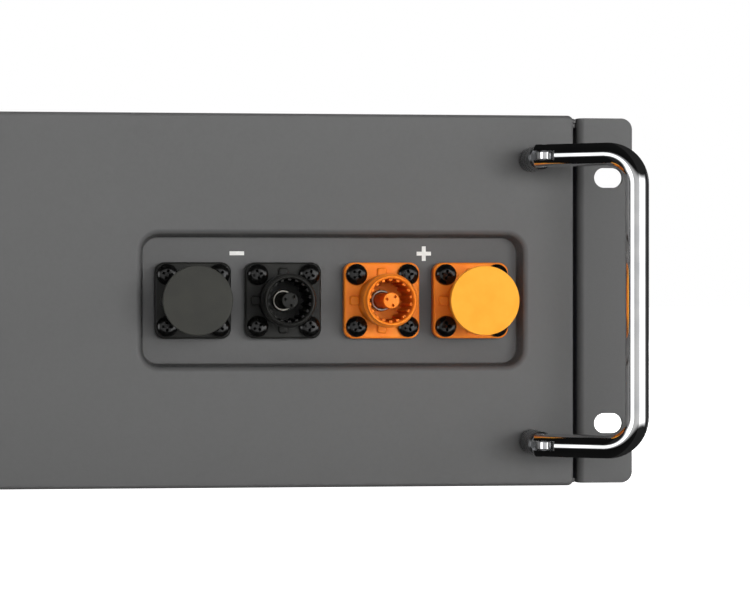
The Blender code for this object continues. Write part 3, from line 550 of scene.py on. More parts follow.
def make_front_panel():
    """Pressed sheet pan: rolled outer edge, and two drawn pockets with rounded rims and roots."""
    bm = bmesh.new()
    width = PANEL_HIGH.x - PANEL_LOW.x
    height = PANEL_HIGH.z - PANEL_LOW.z
    face = rounded_face(bm, width, height, PANEL_CORNER, PANEL_HIGH.y, 6, (0.0, MID_Z))
    face = pull(bm, face, PANEL_HIGH.y - PANEL_LOW.y - PANEL_ROLL)
    face = step_in(bm, face, arc(PANEL_ROLL, 6))
    bmesh.ops.delete(bm, geom=[face], context="FACES_ONLY")
    grow = 2.0 * pocket_profile()[-1][0]
    for _, sign in SIDES:
        mouth = rounded_face(
            bm, FLOOR_SIZE[0] + grow - 2.0 * POCKET_ROOT, FLOOR_SIZE[1] + grow - 2.0 * POCKET_ROOT,
            POCKET_CORNER, FACE, 10, (sign * POCKET_X, MID_Z),
        )
        step_in(bm, mouth, pocket_profile())
    rim = [e for e in bm.edges if e.is_boundary and all(abs(v.co.y - FACE) < 1e-6 for v in e.verts)]
    bmesh.ops.triangle_fill(bm, use_beauty=True, use_dissolve=False, edges=rim, normal=(0.0, -1.0, 0.0))
    backs = [f for f in bm.faces if all(abs(v.co.y - PANEL_HIGH.y) < 1e-6 for v in f.verts)]
    backs += [f for f in bm.faces if f.calc_area() > 0.0 and f.normal.y > 0.9]
    bmesh.ops.delete(bm, geom=list(set(backs)), context="FACES")
    bmesh.ops.remove_doubles(bm, verts=bm.verts, dist=1e-6)
    bmesh.ops.recalc_face_normals(bm, faces=bm.faces)
    if sum(f.normal.y * f.calc_area() for f in bm.faces) > 0.0:
        bmesh.ops.reverse_faces(bm, faces=bm.faces)
    mesh = bpy.data.meshes.new("front_panel_sheet")
    bm.to_mesh(mesh)
    bm.free()
    panel = bpy.data.objects.new("front_panel_sheet", mesh)
    bpy.context.scene.collection.objects.link(panel)
    wall = panel.modifiers.new("sheet", "SOLIDIFY")
    wall.thickness = SHEET
    wall.offset = -1.0
    apply_modifiers(panel)
    cut = bmesh.new()
    for x in SOCKET_X.values():
        rod(cut, BOSS_RADIUS + RUN_GAP, (x, FLOOR - SHEET, MID_Z), (x, FLOOR + 2.0 * SHEET, MID_Z), MEDIUM)
    button = centre_of("power_button")
    rod(cut, 6.8 * MM, (button.x, FLOOR - SHEET, MID_Z), (button.x, FLOOR + 2.0 * SHEET, MID_Z), MEDIUM)
    for node in ("data_port_block", "indicator_lens"):
        low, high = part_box(node)
        gap = Vector((RUN_GAP, 0.0, RUN_GAP))
        radius = 3.7 * MM if node == "indicator_lens" else 0.8 * MM
        size = high - low + 2.0 * gap
        place = (centre_of(node).x, MID_Z)
        slab(cut, size.x, size.z, radius, FLOOR + 2.0 * SHEET, FLOOR - SHEET, 0.0, place, 6)
    carve(panel, [as_object(cut, "panel_holes")])
    complete(panel, "case", PANEL_COAT, ["front_panel", "socket_tray", "control_tray"], 35.0)


def make_rack_ear(side, sign):
    """Bent bracket with a slotted ear, a rounded bend and a leg along the chassis's side."""
    node = "rack_ear_" + side
    low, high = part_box(node)
    outer = max(abs(low.x), abs(high.x))
    inner = min(abs(low.x), abs(high.x))
    bm = bmesh.new()
    outline = [
        (outer, low.y), (outer, low.y + EAR_THICK), (inner + EAR_THICK, low.y + EAR_THICK),
        (inner + EAR_THICK, high.y), (inner, high.y), (inner, low.y),
    ]
    verts = [bm.verts.new((sign * x, y, low.z)) for x, y in outline]
    bm.faces.new(verts)
    bends = (verts[5], EAR_BEND), (verts[2], EAR_BEND - EAR_THICK)
    for vert, radius in bends:
        bmesh.ops.bevel(
            bm, geom=[vert], offset=radius, offset_type="OFFSET", segments=8, profile=0.5,
            affect="VERTICES", material=-1,
        )
    made = bmesh.ops.extrude_face_region(bm, geom=bm.faces[:])["geom"]
    raised = [g for g in made if isinstance(g, bmesh.types.BMVert)]
    bmesh.ops.translate(bm, verts=raised, vec=(0.0, 0.0, high.z - low.z))
    corners = [
        e for e in bm.edges
        if all(abs(v.co.x - sign * outer) < 1e-6 for v in e.verts)
        and abs(e.verts[0].co.z - e.verts[1].co.z) < 1e-6
    ]
    bmesh.ops.bevel(
        bm, geom=corners, offset=EAR_CORNER, offset_type="OFFSET", segments=10, profile=0.5,
        affect="EDGES", material=-1,
    )
    ear = as_object(bm, "rack_ear_plate_" + side)
    cut = bmesh.new()
    for _, level in LEVELS:
        place = (sign * (outer - SLOT_FROM_EDGE), MID_Z + level * SLOT_PITCH / 2.0)
        slab(
            cut, SLOT_SIZE[0], SLOT_SIZE[1], SLOT_SIZE[1] / 2.0 - 0.01 * MM,
            low.y + 2.0 * EAR_THICK, low.y - EAR_THICK, 0.0, place, 14,
        )
    carve(ear, [as_object(cut, "slots")])
    complete(ear, "case", PANEL_COAT, [node], 35.0, 0.2 * MM)
    make_ear_screws(side, sign, low, high)


def make_ear_screws(side, sign, low, high):
    """Three flat-head screws that hold the ear's leg to the chassis."""
    inner = min(abs(low.x), abs(high.x)) + EAR_THICK
    turn = Matrix.Rotation(sign * QUARTER, 4, "Z")
    places = [
        Matrix.Translation((sign * inner, (low.y + high.y) / 2.0 + 4.0 * MM, MID_Z + step * 44.0 * MM)) @ turn
        for step in (-1.0, 0.0, 1.0)
    ]
    screws = as_object(copied(pan_screw(EAR_SCREW_HEAD), places), "ear_leg_screws_" + side)
    complete(screws, "case", ZINC, [], 35.0)


def pan_screw(head=SCREW_HEAD):
    """Pan head with a domed top and a cross recess, facing the front, with its seat at y = 0."""
    radius, height = head
    profile = [(0.0, 0.0), (radius * 0.96, 0.0), (radius, 0.06 * height), (radius, 0.45 * height)]
    steps = 6
    for k in range(1, steps + 1):
        angle = QUARTER * k / steps
        reach = radius * (0.42 + 0.58 * math.cos(angle)) if k < steps else radius * 0.42
        profile.append((reach, height * (0.45 + 0.55 * math.sin(angle))))
    profile.append((0.0, height))
    screw = as_object(turned(profile, MEDIUM), "pan_screw")
    cutters = []
    for turn in (0.0, QUARTER):
        cut = bmesh.new()
        wing = radius * 0.58
        depth = height * 0.75
        made = block(cut, (-wing, -height * 1.3, -radius * 0.13), (wing, -height + depth, radius * 0.13))
        for vert in made:
            if vert.co.y > -height:
                vert.co.x *= 0.35
                vert.co.z *= 0.7
        bmesh.ops.rotate(cut, verts=cut.verts, matrix=Matrix.Rotation(turn, 3, "Y"))
        cutters.append(as_object(cut, "cross"))
    carve(screw, cutters)
    bm = bmesh.new()
    bm.from_mesh(screw.data)
    bpy.data.objects.remove(screw, do_unlink=True)
    return bm


def make_case():
    """Chassis tray and lid with folded edges, and the screws that join them."""
    bm = bmesh.new()
    block(bm, CHASSIS_LOW, CHASSIS_HIGH)
    sharp = [e for e in bm.edges if not all(abs(v.co.z - CHASSIS_HIGH.z) < 1e-6 for v in e.verts)]
    bmesh.ops.bevel(
        bm, geom=sharp, offset=SHEET_EDGE, offset_type="OFFSET", segments=4, profile=0.5,
        affect="EDGES", material=-1,
    )
    tray = as_object(bm, "chassis_tray")
    cut = bmesh.new()
    block(
        cut, (CHASSIS_LOW.x + SHEET, CHASSIS_LOW.y + SHEET, SHEET),
        (CHASSIS_HIGH.x - SHEET, CHASSIS_HIGH.y - SHEET, LID_HIGH.z),
    )
    flange = 14.0 * MM
    mouth = bmesh.new()
    block(
        mouth, (CHASSIS_LOW.x + flange, CHASSIS_LOW.y - SHEET, flange),
        (CHASSIS_HIGH.x - flange, CHASSIS_LOW.y + 2.0 * SHEET, LID_HIGH.z),
    )
    slots = bmesh.new()
    for _, sign in SIDES:
        edges = sorted((sign * (PANEL_HIGH.x - 0.1 * MM), sign * (CHASSIS_HIGH.x + SHEET)))
        block(
            slots, (edges[0], CHASSIS_LOW.y - SHEET, SHEET),
            (edges[1], CHASSIS_LOW.y + 14.0 * MM, CHASSIS_HIGH.z - SHEET),
        )
    carve(tray, [as_object(cut, "hollow"), as_object(mouth, "mouth"), as_object(slots, "slots")])
    complete(tray, "case", CASE_COAT, ["chassis"], 35.0)
    lid = bmesh.new()
    block(lid, (LID_LOW.x, LID_LOW.y, LID_HIGH.z - SHEET), LID_HIGH)
    upper = [e for e in lid.edges if all(abs(v.co.z - LID_HIGH.z) < 1e-6 for v in e.verts)]
    bmesh.ops.bevel(
        lid, geom=upper, offset=SHEET_EDGE, offset_type="OFFSET", segments=4, profile=0.5,
        affect="EDGES", material=-1,
    )
    for _, sign in SIDES:
        edges = sorted((sign * (LID_HIGH.x - SHEET - RUN_GAP), sign * (LID_HIGH.x - 2.0 * SHEET - RUN_GAP)))
        block(
            lid, (edges[0], LID_LOW.y + SHEET + RUN_GAP, LID_LOW.z),
            (edges[1], LID_HIGH.y - SHEET - RUN_GAP, LID_HIGH.z - SHEET / 2.0),
        )
    cover = as_object(lid, "lid_sheet")
    holes = countersinks("lid_holes", 6.4 * MM)
    carve(cover, [holes])
    complete(cover, "case", CASE_COAT, ["top_cover"], 35.0)
    screws = as_object(copied(flat_screw(), lid_screw_places()), "lid_screws")
    complete(screws, "case", ZINC, [], 35.0)


def lid_screw_places():
    """Upright places of the lid's countersunk screws, in a row along each side and the back."""
    inset = 9.0 * MM
    top = LID_HIGH.z - 0.25 * MM
    lay = Matrix.Rotation(-QUARTER, 4, "X")
    rows = []
    span = LID_HIGH.y - LID_LOW.y - 2.0 * inset
    for _, sign in SIDES:
        for k in range(5):
            rows.append((sign * (LID_HIGH.x - inset), LID_LOW.y + inset + span * k / 4.0))
    for k in (-1.0, 0.0, 1.0):
        rows.append((k * 106.0 * MM, LID_HIGH.y - inset))
    return [Matrix.Translation((x, y, top)) @ lay for x, y in rows]


def countersinks(name, width):
    """Conical seats for the lid's screws."""
    bm = bmesh.new()
    bmesh.ops.create_cone(
        bm, cap_ends=True, segments=MEDIUM, radius1=width / 4.0, radius2=width / 2.0 + 0.15 * MM,
        depth=2.4 * MM, matrix=Matrix.Translation((0.0, 0.0, -0.7 * MM)),
    )
    upright = [Matrix.Translation(place.to_translation()) for place in lid_screw_places()]
    return as_object(copied(bm, upright), name)


def flat_screw():
    """Countersunk head with a cross recess, facing the front, with its top at y = 0."""
    radius = 3.0 * MM
    depth = 1.6 * MM
    profile = [(0.0, -depth), (radius * 0.45, -depth), (radius, -0.15 * MM), (radius, 0.0), (0.0, 0.0)]
    screw = as_object(turned(profile, MEDIUM), "flat_screw")
    cutters = []
    for turn in (0.0, QUARTER):
        cut = bmesh.new()
        block(cut, (-1.7 * MM, -0.5 * MM, -0.35 * MM), (1.7 * MM, 1.1 * MM, 0.35 * MM))
        bmesh.ops.rotate(cut, verts=cut.verts, matrix=Matrix.Rotation(turn, 3, "Y"))
        cutters.append(as_object(cut, "cross"))
    carve(screw, cutters)
    bm = bmesh.new()
    bm.from_mesh(screw.data)
    bpy.data.objects.remove(screw, do_unlink=True)
    return bm


# ---------------------------------------------------------------- handles

def sweep_bail(bm):
    """Round bar: leg, bend, grip, bend and leg, from one end's face to the other's."""
    half = BAIL_PITCH / 2.0
    made = bmesh.ops.create_circle(
        bm, cap_ends=True, segments=MEDIUM, radius=BAIL_RADIUS,
        matrix=Matrix.Translation((0.0, BAIL_TAIL - 0.5 * MM, -half)) @ Matrix.Rotation(QUARTER, 4, "X"),
    )
    face = made["verts"][0].link_faces[0]
    face.normal_update()
    if face.normal.y > 0.0:
        face.normal_flip()
    start = face.copy()
    start.normal_flip()
    bmesh.ops.inset_individual(bm, faces=[start], thickness=0.5 * MM, depth=0.5 * MM, use_even_offset=True)
    leg = BAIL_REACH - BAIL_BEND
    face = pull(bm, face, leg + BAIL_TAIL - 0.5 * MM)
    for level in (-1.0, 1.0):
        centre = (0.0, -leg, level * (half - BAIL_BEND))
        made = bmesh.ops.spin(
            bm, geom=[face] + face.edges[:] + face.verts[:], cent=centre, axis=(1.0, 0.0, 0.0),
            angle=-QUARTER, steps=14, use_merge=False, use_duplicate=False,
        )["geom_last"]
        face = next(g for g in made if isinstance(g, bmesh.types.BMFace))
        face.normal_update()
        if level < 0.0:
            face = pull(bm, face, BAIL_PITCH - 2.0 * BAIL_BEND)
    face = pull(bm, face, leg + BAIL_TAIL - 0.5 * MM)
    step_in(bm, face, [(0.5 * MM, 0.5 * MM)])
    return half


def make_bail(side, sign):
    """Folding bail, slotted and drilled at both ends, turned to its lean at rest."""
    bm = bmesh.new()
    half = sweep_bail(bm)
    bail = as_object(bm, "handle_bar_" + side)
    slots = bmesh.new()
    holes = bmesh.new()
    for _, level in LEVELS:
        thick = TONGUE[1] / 2.0 + RUN_GAP
        block(
            slots, (-2.0 * BAIL_RADIUS, -FORK_ROOT, level * half - thick),
            (2.0 * BAIL_RADIUS, 2.0 * BAIL_TAIL, level * half + thick),
        )
        rod(
            holes, PIN_RADIUS + 0.05 * MM, (0.0, 0.0, level * half - 2.0 * BAIL_RADIUS),
            (0.0, 0.0, level * half + 2.0 * BAIL_RADIUS),
        )
    carve(bail, [as_object(slots, "slots"), as_object(holes, "holes")])
    pins = bmesh.new()
    for _, level in LEVELS:
        reach = BAIL_RADIUS - 0.35 * MM
        rod(pins, PIN_RADIUS, (0.0, 0.0, level * half - reach), (0.0, 0.0, level * half + reach))
    pin_pair = as_object(pins, "handle_hinge_pins_" + side)
    pivot = joint_place(side + "_handle_fold")
    place = Matrix.Translation(pivot) @ Matrix.Rotation(sign * BAIL_LEAN, 4, "Z")
    for piece in (bail, pin_pair):
        piece.data.transform(place)
    body = side + "_handle"
    complete(bail, body, CHROME, ["handle_bail_" + side], 35.0, 0.12 * MM)
    names = ["handle_pin_" + level + "_" + side for level, _ in LEVELS]
    complete(pin_pair, body, POST_CHROME_PAINTED_DARK, names, 35.0)


def joint_place(name):
    """The point on a hinge's axis that the record gives."""
    return Vector(next(j["pos_m"] for j in frame["joints"] if j["name"] == name))


def make_posts(side):
    """Turned posts on the panel, each with a round-tipped tongue for the fork."""
    pivot = joint_place(side + "_handle_fold")
    half = BAIL_PITCH / 2.0
    feet = bmesh.new()
    tongues = bmesh.new()
    for _, level in LEVELS:
        z = pivot.z + level * half
        turned([
            (0.0, RUN_GAP), (POST_RADIUS - 0.3 * MM, RUN_GAP), (POST_RADIUS, RUN_GAP + 0.3 * MM),
            (POST_RADIUS, POST_HEIGHT - 1.9 * MM), (POST_RADIUS - 0.25 * MM, POST_HEIGHT - 1.7 * MM),
            (POST_RADIUS - 0.25 * MM, POST_HEIGHT - 1.3 * MM), (POST_RADIUS, POST_HEIGHT - 1.1 * MM),
            (POST_RADIUS, POST_HEIGHT - 0.5 * MM), (POST_RADIUS - 0.5 * MM, POST_HEIGHT), (0.0, POST_HEIGHT),
        ], 48, feet, pivot.x, FACE, z)
        length = PIVOT_HEIGHT - POST_HEIGHT + 2.0 * MM + TONGUE[0] / 2.0
        known = set(tongues.verts)
        block(tongues, (-TONGUE[0] / 2.0, -length / 2.0, -TONGUE[1] / 2.0),
              (TONGUE[0] / 2.0, length / 2.0, TONGUE[1] / 2.0))
        fresh = [v for v in tongues.verts if v not in known]
        front = [
            e for e in tongues.edges
            if all(v in fresh and v.co.y < 0.0 for v in e.verts)
            and abs(e.verts[0].co.x - e.verts[1].co.x) < 1e-6
        ]
        bmesh.ops.bevel(
            tongues, geom=front, offset=TONGUE[0] / 2.0 - 0.01 * MM, offset_type="OFFSET", segments=8,
            profile=0.5, affect="EDGES", material=-1,
        )
        fresh = [v for v in tongues.verts if v not in known]
        back = max(v.co.y for v in fresh)
        shift = FACE - POST_HEIGHT + 2.0 * MM - back
        bmesh.ops.translate(tongues, verts=fresh, vec=(pivot.x, shift, z))
    names = ["handle_post_" + level + "_" + side for level, _ in LEVELS]
    foot_piece = as_object(feet, "handle_post_feet_" + side)
    complete(foot_piece, "case", POST_CHROME_PAINTED_DARK, names, 30.0)
    tongue_piece = as_object(tongues, "handle_post_tongues_" + side)
    complete(tongue_piece, "case", CHROME, names, 30.0, 0.25 * MM)


# ---------------------------------------------------------------- sockets

def shell_profile():
    """Outside of the shell from the flange to the lip, then the bore, as a closed ring."""
    inner = BORE_RADIUS
    return [
        (BOSS_RADIUS, -FLANGE_THICK * 0.5), (NECK_RADIUS + 0.6 * MM, 0.0),
        (NECK_RADIUS + 0.25 * MM, 0.5 * MM), (NECK_RADIUS, 1.6 * MM),
        (NECK_RADIUS, 14.4 * MM), (COLLAR_RADIUS - 0.3 * MM, 14.9 * MM),
        (COLLAR_RADIUS, 15.3 * MM), (COLLAR_RADIUS, 21.2 * MM), (COLLAR_RADIUS - 0.25 * MM, 21.6 * MM),
        (LIP_RADIUS + 0.1 * MM, 22.1 * MM), (LIP_RADIUS, 22.4 * MM), (LIP_RADIUS, SHELL_LENGTH - 0.5 * MM),
        (LIP_RADIUS - 0.15 * MM, SHELL_LENGTH - 0.15 * MM), (LIP_RADIUS - 0.5 * MM, SHELL_LENGTH),
        (inner + 0.5 * MM, SHELL_LENGTH), (inner + 0.1 * MM, SHELL_LENGTH - 0.5 * MM),
        (inner, SHELL_LENGTH - 1.1 * MM), (inner, -BORE_DEPTH), (CONTACT_RADIUS + RUN_GAP, -BORE_DEPTH),
        (CONTACT_RADIUS + RUN_GAP, -BOSS_END), (BOSS_RADIUS, -BOSS_END),
    ]


def make_socket(name):
    """Moulded housing with its lugs and ribs, its contact and touch guard."""
    x = SOCKET_X[name]
    colour = BLACK_NYLON if name.startswith("negative") else ORANGE_NYLON
    bm = bmesh.new()
    slab(bm, FLANGE, FLANGE, FLANGE_CORNER, FLANGE_BACK, FLANGE_FACE, 0.8 * MM, (x, MID_Z), 8)
    flange = as_object(bm, "socket_flange_" + name)
    solid = bmesh.new()
    rod(
        solid, BORE_RADIUS + 0.1 * MM, (x, FLANGE_FACE - SHEET, MID_Z), (x, FLANGE_BACK + SHEET, MID_Z), FINE
    )
    carve(flange, [as_object(solid, "bore")])
    complete(flange, "case", colour, ["socket_housing_" + name], 35.0)
    shell = as_object(turned(shell_profile(), FINE, None, x, FLANGE_FACE, MID_Z), "socket_shell_" + name)
    complete(shell, "case", colour, ["socket_housing_" + name], 35.0)
    make_lugs(name, x, colour)
    make_ribs(name, x, colour)
    make_contact(name, x)
    make_guard(name, x, colour)


def make_lugs(name, x, colour):
    """Four raised lugs on the flange, round the foot of the shell, that key the cable plug."""
    width, reach, height = LUG
    bm = bmesh.new()
    slab(
        bm, reach - NECK_RADIUS, width, 0.9 * MM, 0.3 * MM, -height, 0.6 * MM,
        ((reach + NECK_RADIUS) / 2.0, 0.0), 4,
    )
    base = Matrix.Translation((x, FLANGE_FACE, MID_Z))
    places = [base @ Matrix.Rotation(k * QUARTER, 4, "Y") for k in range(4)]
    lugs = as_object(copied(bm, places), "socket_lugs_" + name)
    complete(lugs, "case", colour, ["socket_housing_" + name], 35.0)


def make_ribs(name, x, colour):
    """Coding ribs that run down the inside of the shell."""
    bm = bmesh.new()
    width, height = RIB
    verts = block(
        bm, (BORE_RADIUS - height, -RIB_FRONT, -width / 2.0),
        (BORE_RADIUS + 0.3 * MM, BORE_DEPTH, width / 2.0),
    )
    front = [e for e in bm.edges if all(v in verts and v.co.x < BORE_RADIUS for v in e.verts)]
    bmesh.ops.bevel(
        bm, geom=front, offset=0.3 * MM, offset_type="OFFSET", segments=2, profile=0.5,
        affect="EDGES", material=-1,
    )
    base = Matrix.Translation((x, FLANGE_FACE, MID_Z))
    places = [
        base @ Matrix.Rotation(2.0 * math.pi * (k + 0.5) / RIB_COUNT, 4, "Y") for k in range(RIB_COUNT)
    ]
    ribs = as_object(copied(bm, places), "socket_ribs_" + name)
    complete(ribs, "case", colour, ["socket_housing_" + name], 35.0)


def make_contact(name, x):
    """Tube contact with a rolled mouth, and its stud behind."""
    inner = CONTACT_RADIUS - CONTACT_WALL
    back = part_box("socket_contact_" + name)[1].y - FLANGE_FACE
    profile = [
        (0.0, -back), (3.0 * MM, -back), (3.2 * MM, 0.4 * MM - back), (3.2 * MM, -17.6 * MM),
        (CONTACT_RADIUS, -17.6 * MM), (CONTACT_RADIUS, -0.12 * MM), (CONTACT_RADIUS - 0.08 * MM, 0.0),
        (inner + 0.06 * MM, 0.0), (inner, -0.1 * MM),
        (inner, -13.6 * MM), (0.0, -13.6 * MM),
    ]
    contact = as_object(turned(profile, 48, None, x, FLANGE_FACE, MID_Z), "socket_contact_tube_" + name)
    complete(contact, "case", SILVER, ["socket_contact_" + name], 35.0)


def make_guard(name, x, colour):
    """Touch-guard post with three blind holes in its front."""
    profile = [
        (0.0, -13.3 * MM), (GUARD_RADIUS, -13.3 * MM), (GUARD_RADIUS, GUARD_FRONT - 0.4 * MM),
        (GUARD_RADIUS - 0.12 * MM, GUARD_FRONT - 0.12 * MM), (GUARD_RADIUS - 0.4 * MM, GUARD_FRONT),
        (0.0, GUARD_FRONT),
    ]
    guard = as_object(turned(profile, 40, None, x, FLANGE_FACE, MID_Z), "touch_guard_post_" + name)
    holes = bmesh.new()
    for turn in (165.0, 45.0, -75.0):
        angle = math.radians(turn)
        across = x + GUARD_HOLE_RING * math.cos(angle)
        up = MID_Z + GUARD_HOLE_RING * math.sin(angle)
        front = FLANGE_FACE - GUARD_FRONT
        rod(holes, GUARD_HOLE, (across, front - 1.0 * MM, up), (across, front + 3.0 * MM, up), 16)
    carve(guard, [as_object(holes, "holes")])
    complete(guard, "case", colour, ["touch_guard_" + name], 35.0)


def make_gaskets():
    """Rubber seals between the flanges and the pocket's floor."""
    for name, x in SOCKET_X.items():
        low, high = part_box("socket_gasket_" + name)
        bm = bmesh.new()
        slab(bm, high.x - low.x, high.z - low.z, 3.0 * MM, high.y, low.y, 0.2 * MM, (x, MID_Z), 6)
        gasket = as_object(bm, "socket_seal_" + name)
        hole = bmesh.new()
        rod(hole, BOSS_RADIUS + RUN_GAP, (x, low.y - SHEET, MID_Z), (x, high.y + SHEET, MID_Z), MEDIUM)
        carve(gasket, [as_object(hole, "hole")])
        complete(gasket, "case", RUBBER, ["socket_gasket_" + name], 35.0)


def make_flange_screws():
    """Four pan-head screws in each flange, each recess turned its own way."""
    half = SCREW_PITCH / 2.0
    for order, (name, x) in enumerate(SOCKET_X.items()):
        places = []
        for number, (level, across) in enumerate((lv, ac) for lv in (1.0, -1.0) for ac in (-1.0, 1.0)):
            turn = math.radians(17.0 + 37.0 * (4 * order + number))
            spot = Matrix.Translation((x + across * half, FLANGE_FACE - 0.05 * MM, MID_Z + level * half))
            places.append(spot @ Matrix.Rotation(turn, 4, "Y"))
        screws = as_object(copied(pan_screw(), places), "flange_screws_" + name)
        nodes = ["flange_screw_" + name + "_" + str(k) for k in range(1, 5)]
        complete(screws, "case", SCREW_BLACK, nodes, 30.0)


def make_cap(polarity):
    """Dust cap: flat disc with a rounded edge, a shallow step behind, and a hollow plug."""
    name = polarity + "_outer"
    front = CAP_BACK + CAP_THICK
    profile = [
        (0.0, CAP_BACK), (5.4 * MM, CAP_BACK), (5.4 * MM, 16.9 * MM), (5.7 * MM, 16.7 * MM),
        (7.0 * MM, 16.7 * MM),
        (7.3 * MM, 17.1 * MM), (7.3 * MM, CAP_BACK), (11.3 * MM, CAP_BACK), (11.7 * MM, CAP_BACK + 0.15 * MM),
        (CAP_RADIUS, CAP_BACK + 0.6 * MM), (CAP_RADIUS, front - 0.45 * MM),
        (CAP_RADIUS - 0.13 * MM, front - 0.13 * MM), (CAP_RADIUS - 0.45 * MM, front), (0.0, front),
    ]
    disc = turned(profile, 96, None, SOCKET_X[name], FLANGE_FACE, MID_Z)
    cap = as_object(disc, "dust_cap_disc_" + polarity)
    material = BLACK_CAP if polarity == "negative" else ORANGE_CAP
    complete(cap, polarity + "_cap", material, ["dust_cap_" + polarity], 35.0)


def make_marks():
    """Pad-printed minus and plus on the pocket's floor."""
    height = 16.8 * MM
    arm, bar = 1.4 * MM, 5.2 * MM
    thick = 0.06 * MM
    minus_x = (SOCKET_X["negative_outer"] + SOCKET_X["negative_inner"]) / 2.0
    plus_x = (SOCKET_X["positive_inner"] + SOCKET_X["positive_outer"]) / 2.0
    for name, x, spokes in (("minus_mark", minus_x, 2), ("plus_mark", plus_x, 4)):
        bm = bmesh.new()
        verts = [
            bm.verts.new((sx * arm / 2.0, 0.0, sz * arm / 2.0))
            for sx, sz in ((-1, -1), (1, -1), (1, 1), (-1, 1))
        ]
        centre = bm.faces.new(verts)
        edges = sorted(centre.edges, key=lambda e: abs(e.verts[0].co.x - e.verts[1].co.x))
        for edge in edges[:spokes]:
            middle = (edge.verts[0].co + edge.verts[1].co) / 2.0
            made = bmesh.ops.extrude_edge_only(bm, edges=[edge])["geom"]
            moved = [g for g in made if isinstance(g, bmesh.types.BMVert)]
            bmesh.ops.translate(bm, verts=moved, vec=middle.normalized() * (bar - arm) / 2.0)
        made = bmesh.ops.extrude_face_region(bm, geom=bm.faces[:])["geom"]
        moved = [g for g in made if isinstance(g, bmesh.types.BMVert)]
        bmesh.ops.translate(bm, verts=moved, vec=(0.0, -thick, 0.0))
        bmesh.ops.translate(bm, verts=bm.verts, vec=(x, FLOOR - 0.01 * MM, MID_Z + height))
        mark = as_object(bm, name)
        complete(mark, "case", PRINT, [], 30.0)


# ---------------------------------------------------------------- left end

def make_controls():
    """Power button, indicator lens with its light windows, and the two data ports."""
    low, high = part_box("power_button")
    x = (low.x + high.x) / 2.0
    proud = FLOOR - low.y
    button = as_object(turned([
        (0.0, -3.8 * MM), (8.0 * MM, -3.8 * MM), (8.0 * MM, -1.8 * MM), (6.5 * MM, -1.8 * MM),
        (6.5 * MM, proud - 0.7 * MM), (6.3 * MM, proud - 0.2 * MM), (5.8 * MM, proud),
        (4.9 * MM, proud - 0.1 * MM),
        (4.6 * MM, proud - 0.6 * MM), (0.0, proud - 1.0 * MM),
    ], FINE, None, x, FLOOR, MID_Z), "power_button_cap")
    complete(button, "button", BUTTON_BLACK, ["power_button"], 35.0)
    low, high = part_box("indicator_lens")
    bm = bmesh.new()
    middle = centre_of("indicator_lens")
    slab(
        bm, high.x - low.x, high.z - low.z, 3.2 * MM, high.y, low.y, 0.4 * MM, (middle.x, MID_Z), 8
    )
    lens = as_object(bm, "indicator_lens_window")
    complete(lens, "case", LENS, ["indicator_lens"], 35.0)
    lights = bmesh.new()
    for k in range(LIGHT_COUNT):
        spot = middle.x + (k - (LIGHT_COUNT - 1) / 2.0) * LIGHT_STEP
        slab(
            lights, LIGHT_SIZE[0], LIGHT_SIZE[1], 0.7 * MM, low.y + 0.2 * MM, low.y - 0.04 * MM, 0.0,
            (spot, MID_Z), 4,
        )
    windows = as_object(lights, "indicator_lights")
    complete(windows, "case", LED, [], 35.0)
    make_ports()


def make_ports():
    """Twin data port: moulded block with two stepped latch mouths and gold contact springs."""
    low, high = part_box("data_port_block")
    middle = centre_of("data_port_block").x
    bm = bmesh.new()
    slab(bm, high.x - low.x, high.z - low.z, 0.5 * MM, high.y, low.y, 0.3 * MM, (middle, MID_Z), 3)
    shell = as_object(bm, "data_port_shell")
    cutters = []
    springs = bmesh.new()
    back = high.y - 2.0 * MM
    for side in (-1.0, 1.0):
        x = middle + side * PORT_STEP / 2.0
        mouth = bmesh.new()
        slab(mouth, 12.0 * MM, 7.4 * MM, 0.2 * MM, back, low.y - SHEET, 0.0, (x, MID_Z + 1.2 * MM), 2)
        cutters.append(as_object(mouth, "mouth"))
        latch = bmesh.new()
        slab(latch, 6.0 * MM, 4.0 * MM, 0.2 * MM, back, low.y - SHEET, 0.0, (x, MID_Z - 3.2 * MM), 2)
        cutters.append(as_object(latch, "latch"))
        for k in range(8):
            spot = x + (k - 3.5) * 1.02 * MM
            start = (spot, low.y + 2.5 * MM, MID_Z + 4.6 * MM)
            rod(springs, 0.2 * MM, start, (spot, low.y + 11.0 * MM, MID_Z + 1.0 * MM), 8)
    carve(shell, cutters)
    complete(shell, "case", BUTTON_BLACK, ["data_port_block"], 35.0)
    contacts = as_object(springs, "data_port_contacts")
    complete(contacts, "case", GOLD, [], 35.0)


def finish_inner_nodes():
    """Materials for the sealed pieces inside, whose CAD shapes stay."""
    finishes = {
        "cell_bank_front": CELL_WRAP, "cell_bank_rear": CELL_WRAP, "bank_link": COPPER,
        "busbar_negative": COPPER, "busbar_positive": COPPER,
        "battery_management_board": BOARD,
    }
    for name, material in finishes.items():
        node = frame["nodes"][name]
        node.data.materials.clear()
        node.data.materials.append(material)


# ---------------------------------------------------------------- studio

def make_floor():
    """Plain white floor. It glows to the camera, so that it stays white, and metal doesn't mirror it."""
    bm = bmesh.new()
    bmesh.ops.create_grid(bm, x_segments=1, y_segments=1, size=20.0)
    floor = as_object(bm, "studio_floor")
    material, shader = new_material("matte_white_floor", 0.9, Specular_IOR_Level=0.0)
    tones(material, shader, noise(material, 0.4), "f4f4f4", "f7f7f7")
    shader.inputs["Emission Color"].default_value = linear("ffffff")
    tree = material.node_tree
    path = add_node(material, "ShaderNodeLightPath")
    glow = add_node(
        material, "ShaderNodeMath", {"operation": "MULTIPLY", 1: 1.0}, {0: path.outputs["Is Camera Ray"]}
    )
    tree.links.new(glow.outputs[0], shader.inputs["Emission Strength"])
    floor.data.materials.append(material)
    floor.visible_glossy = False


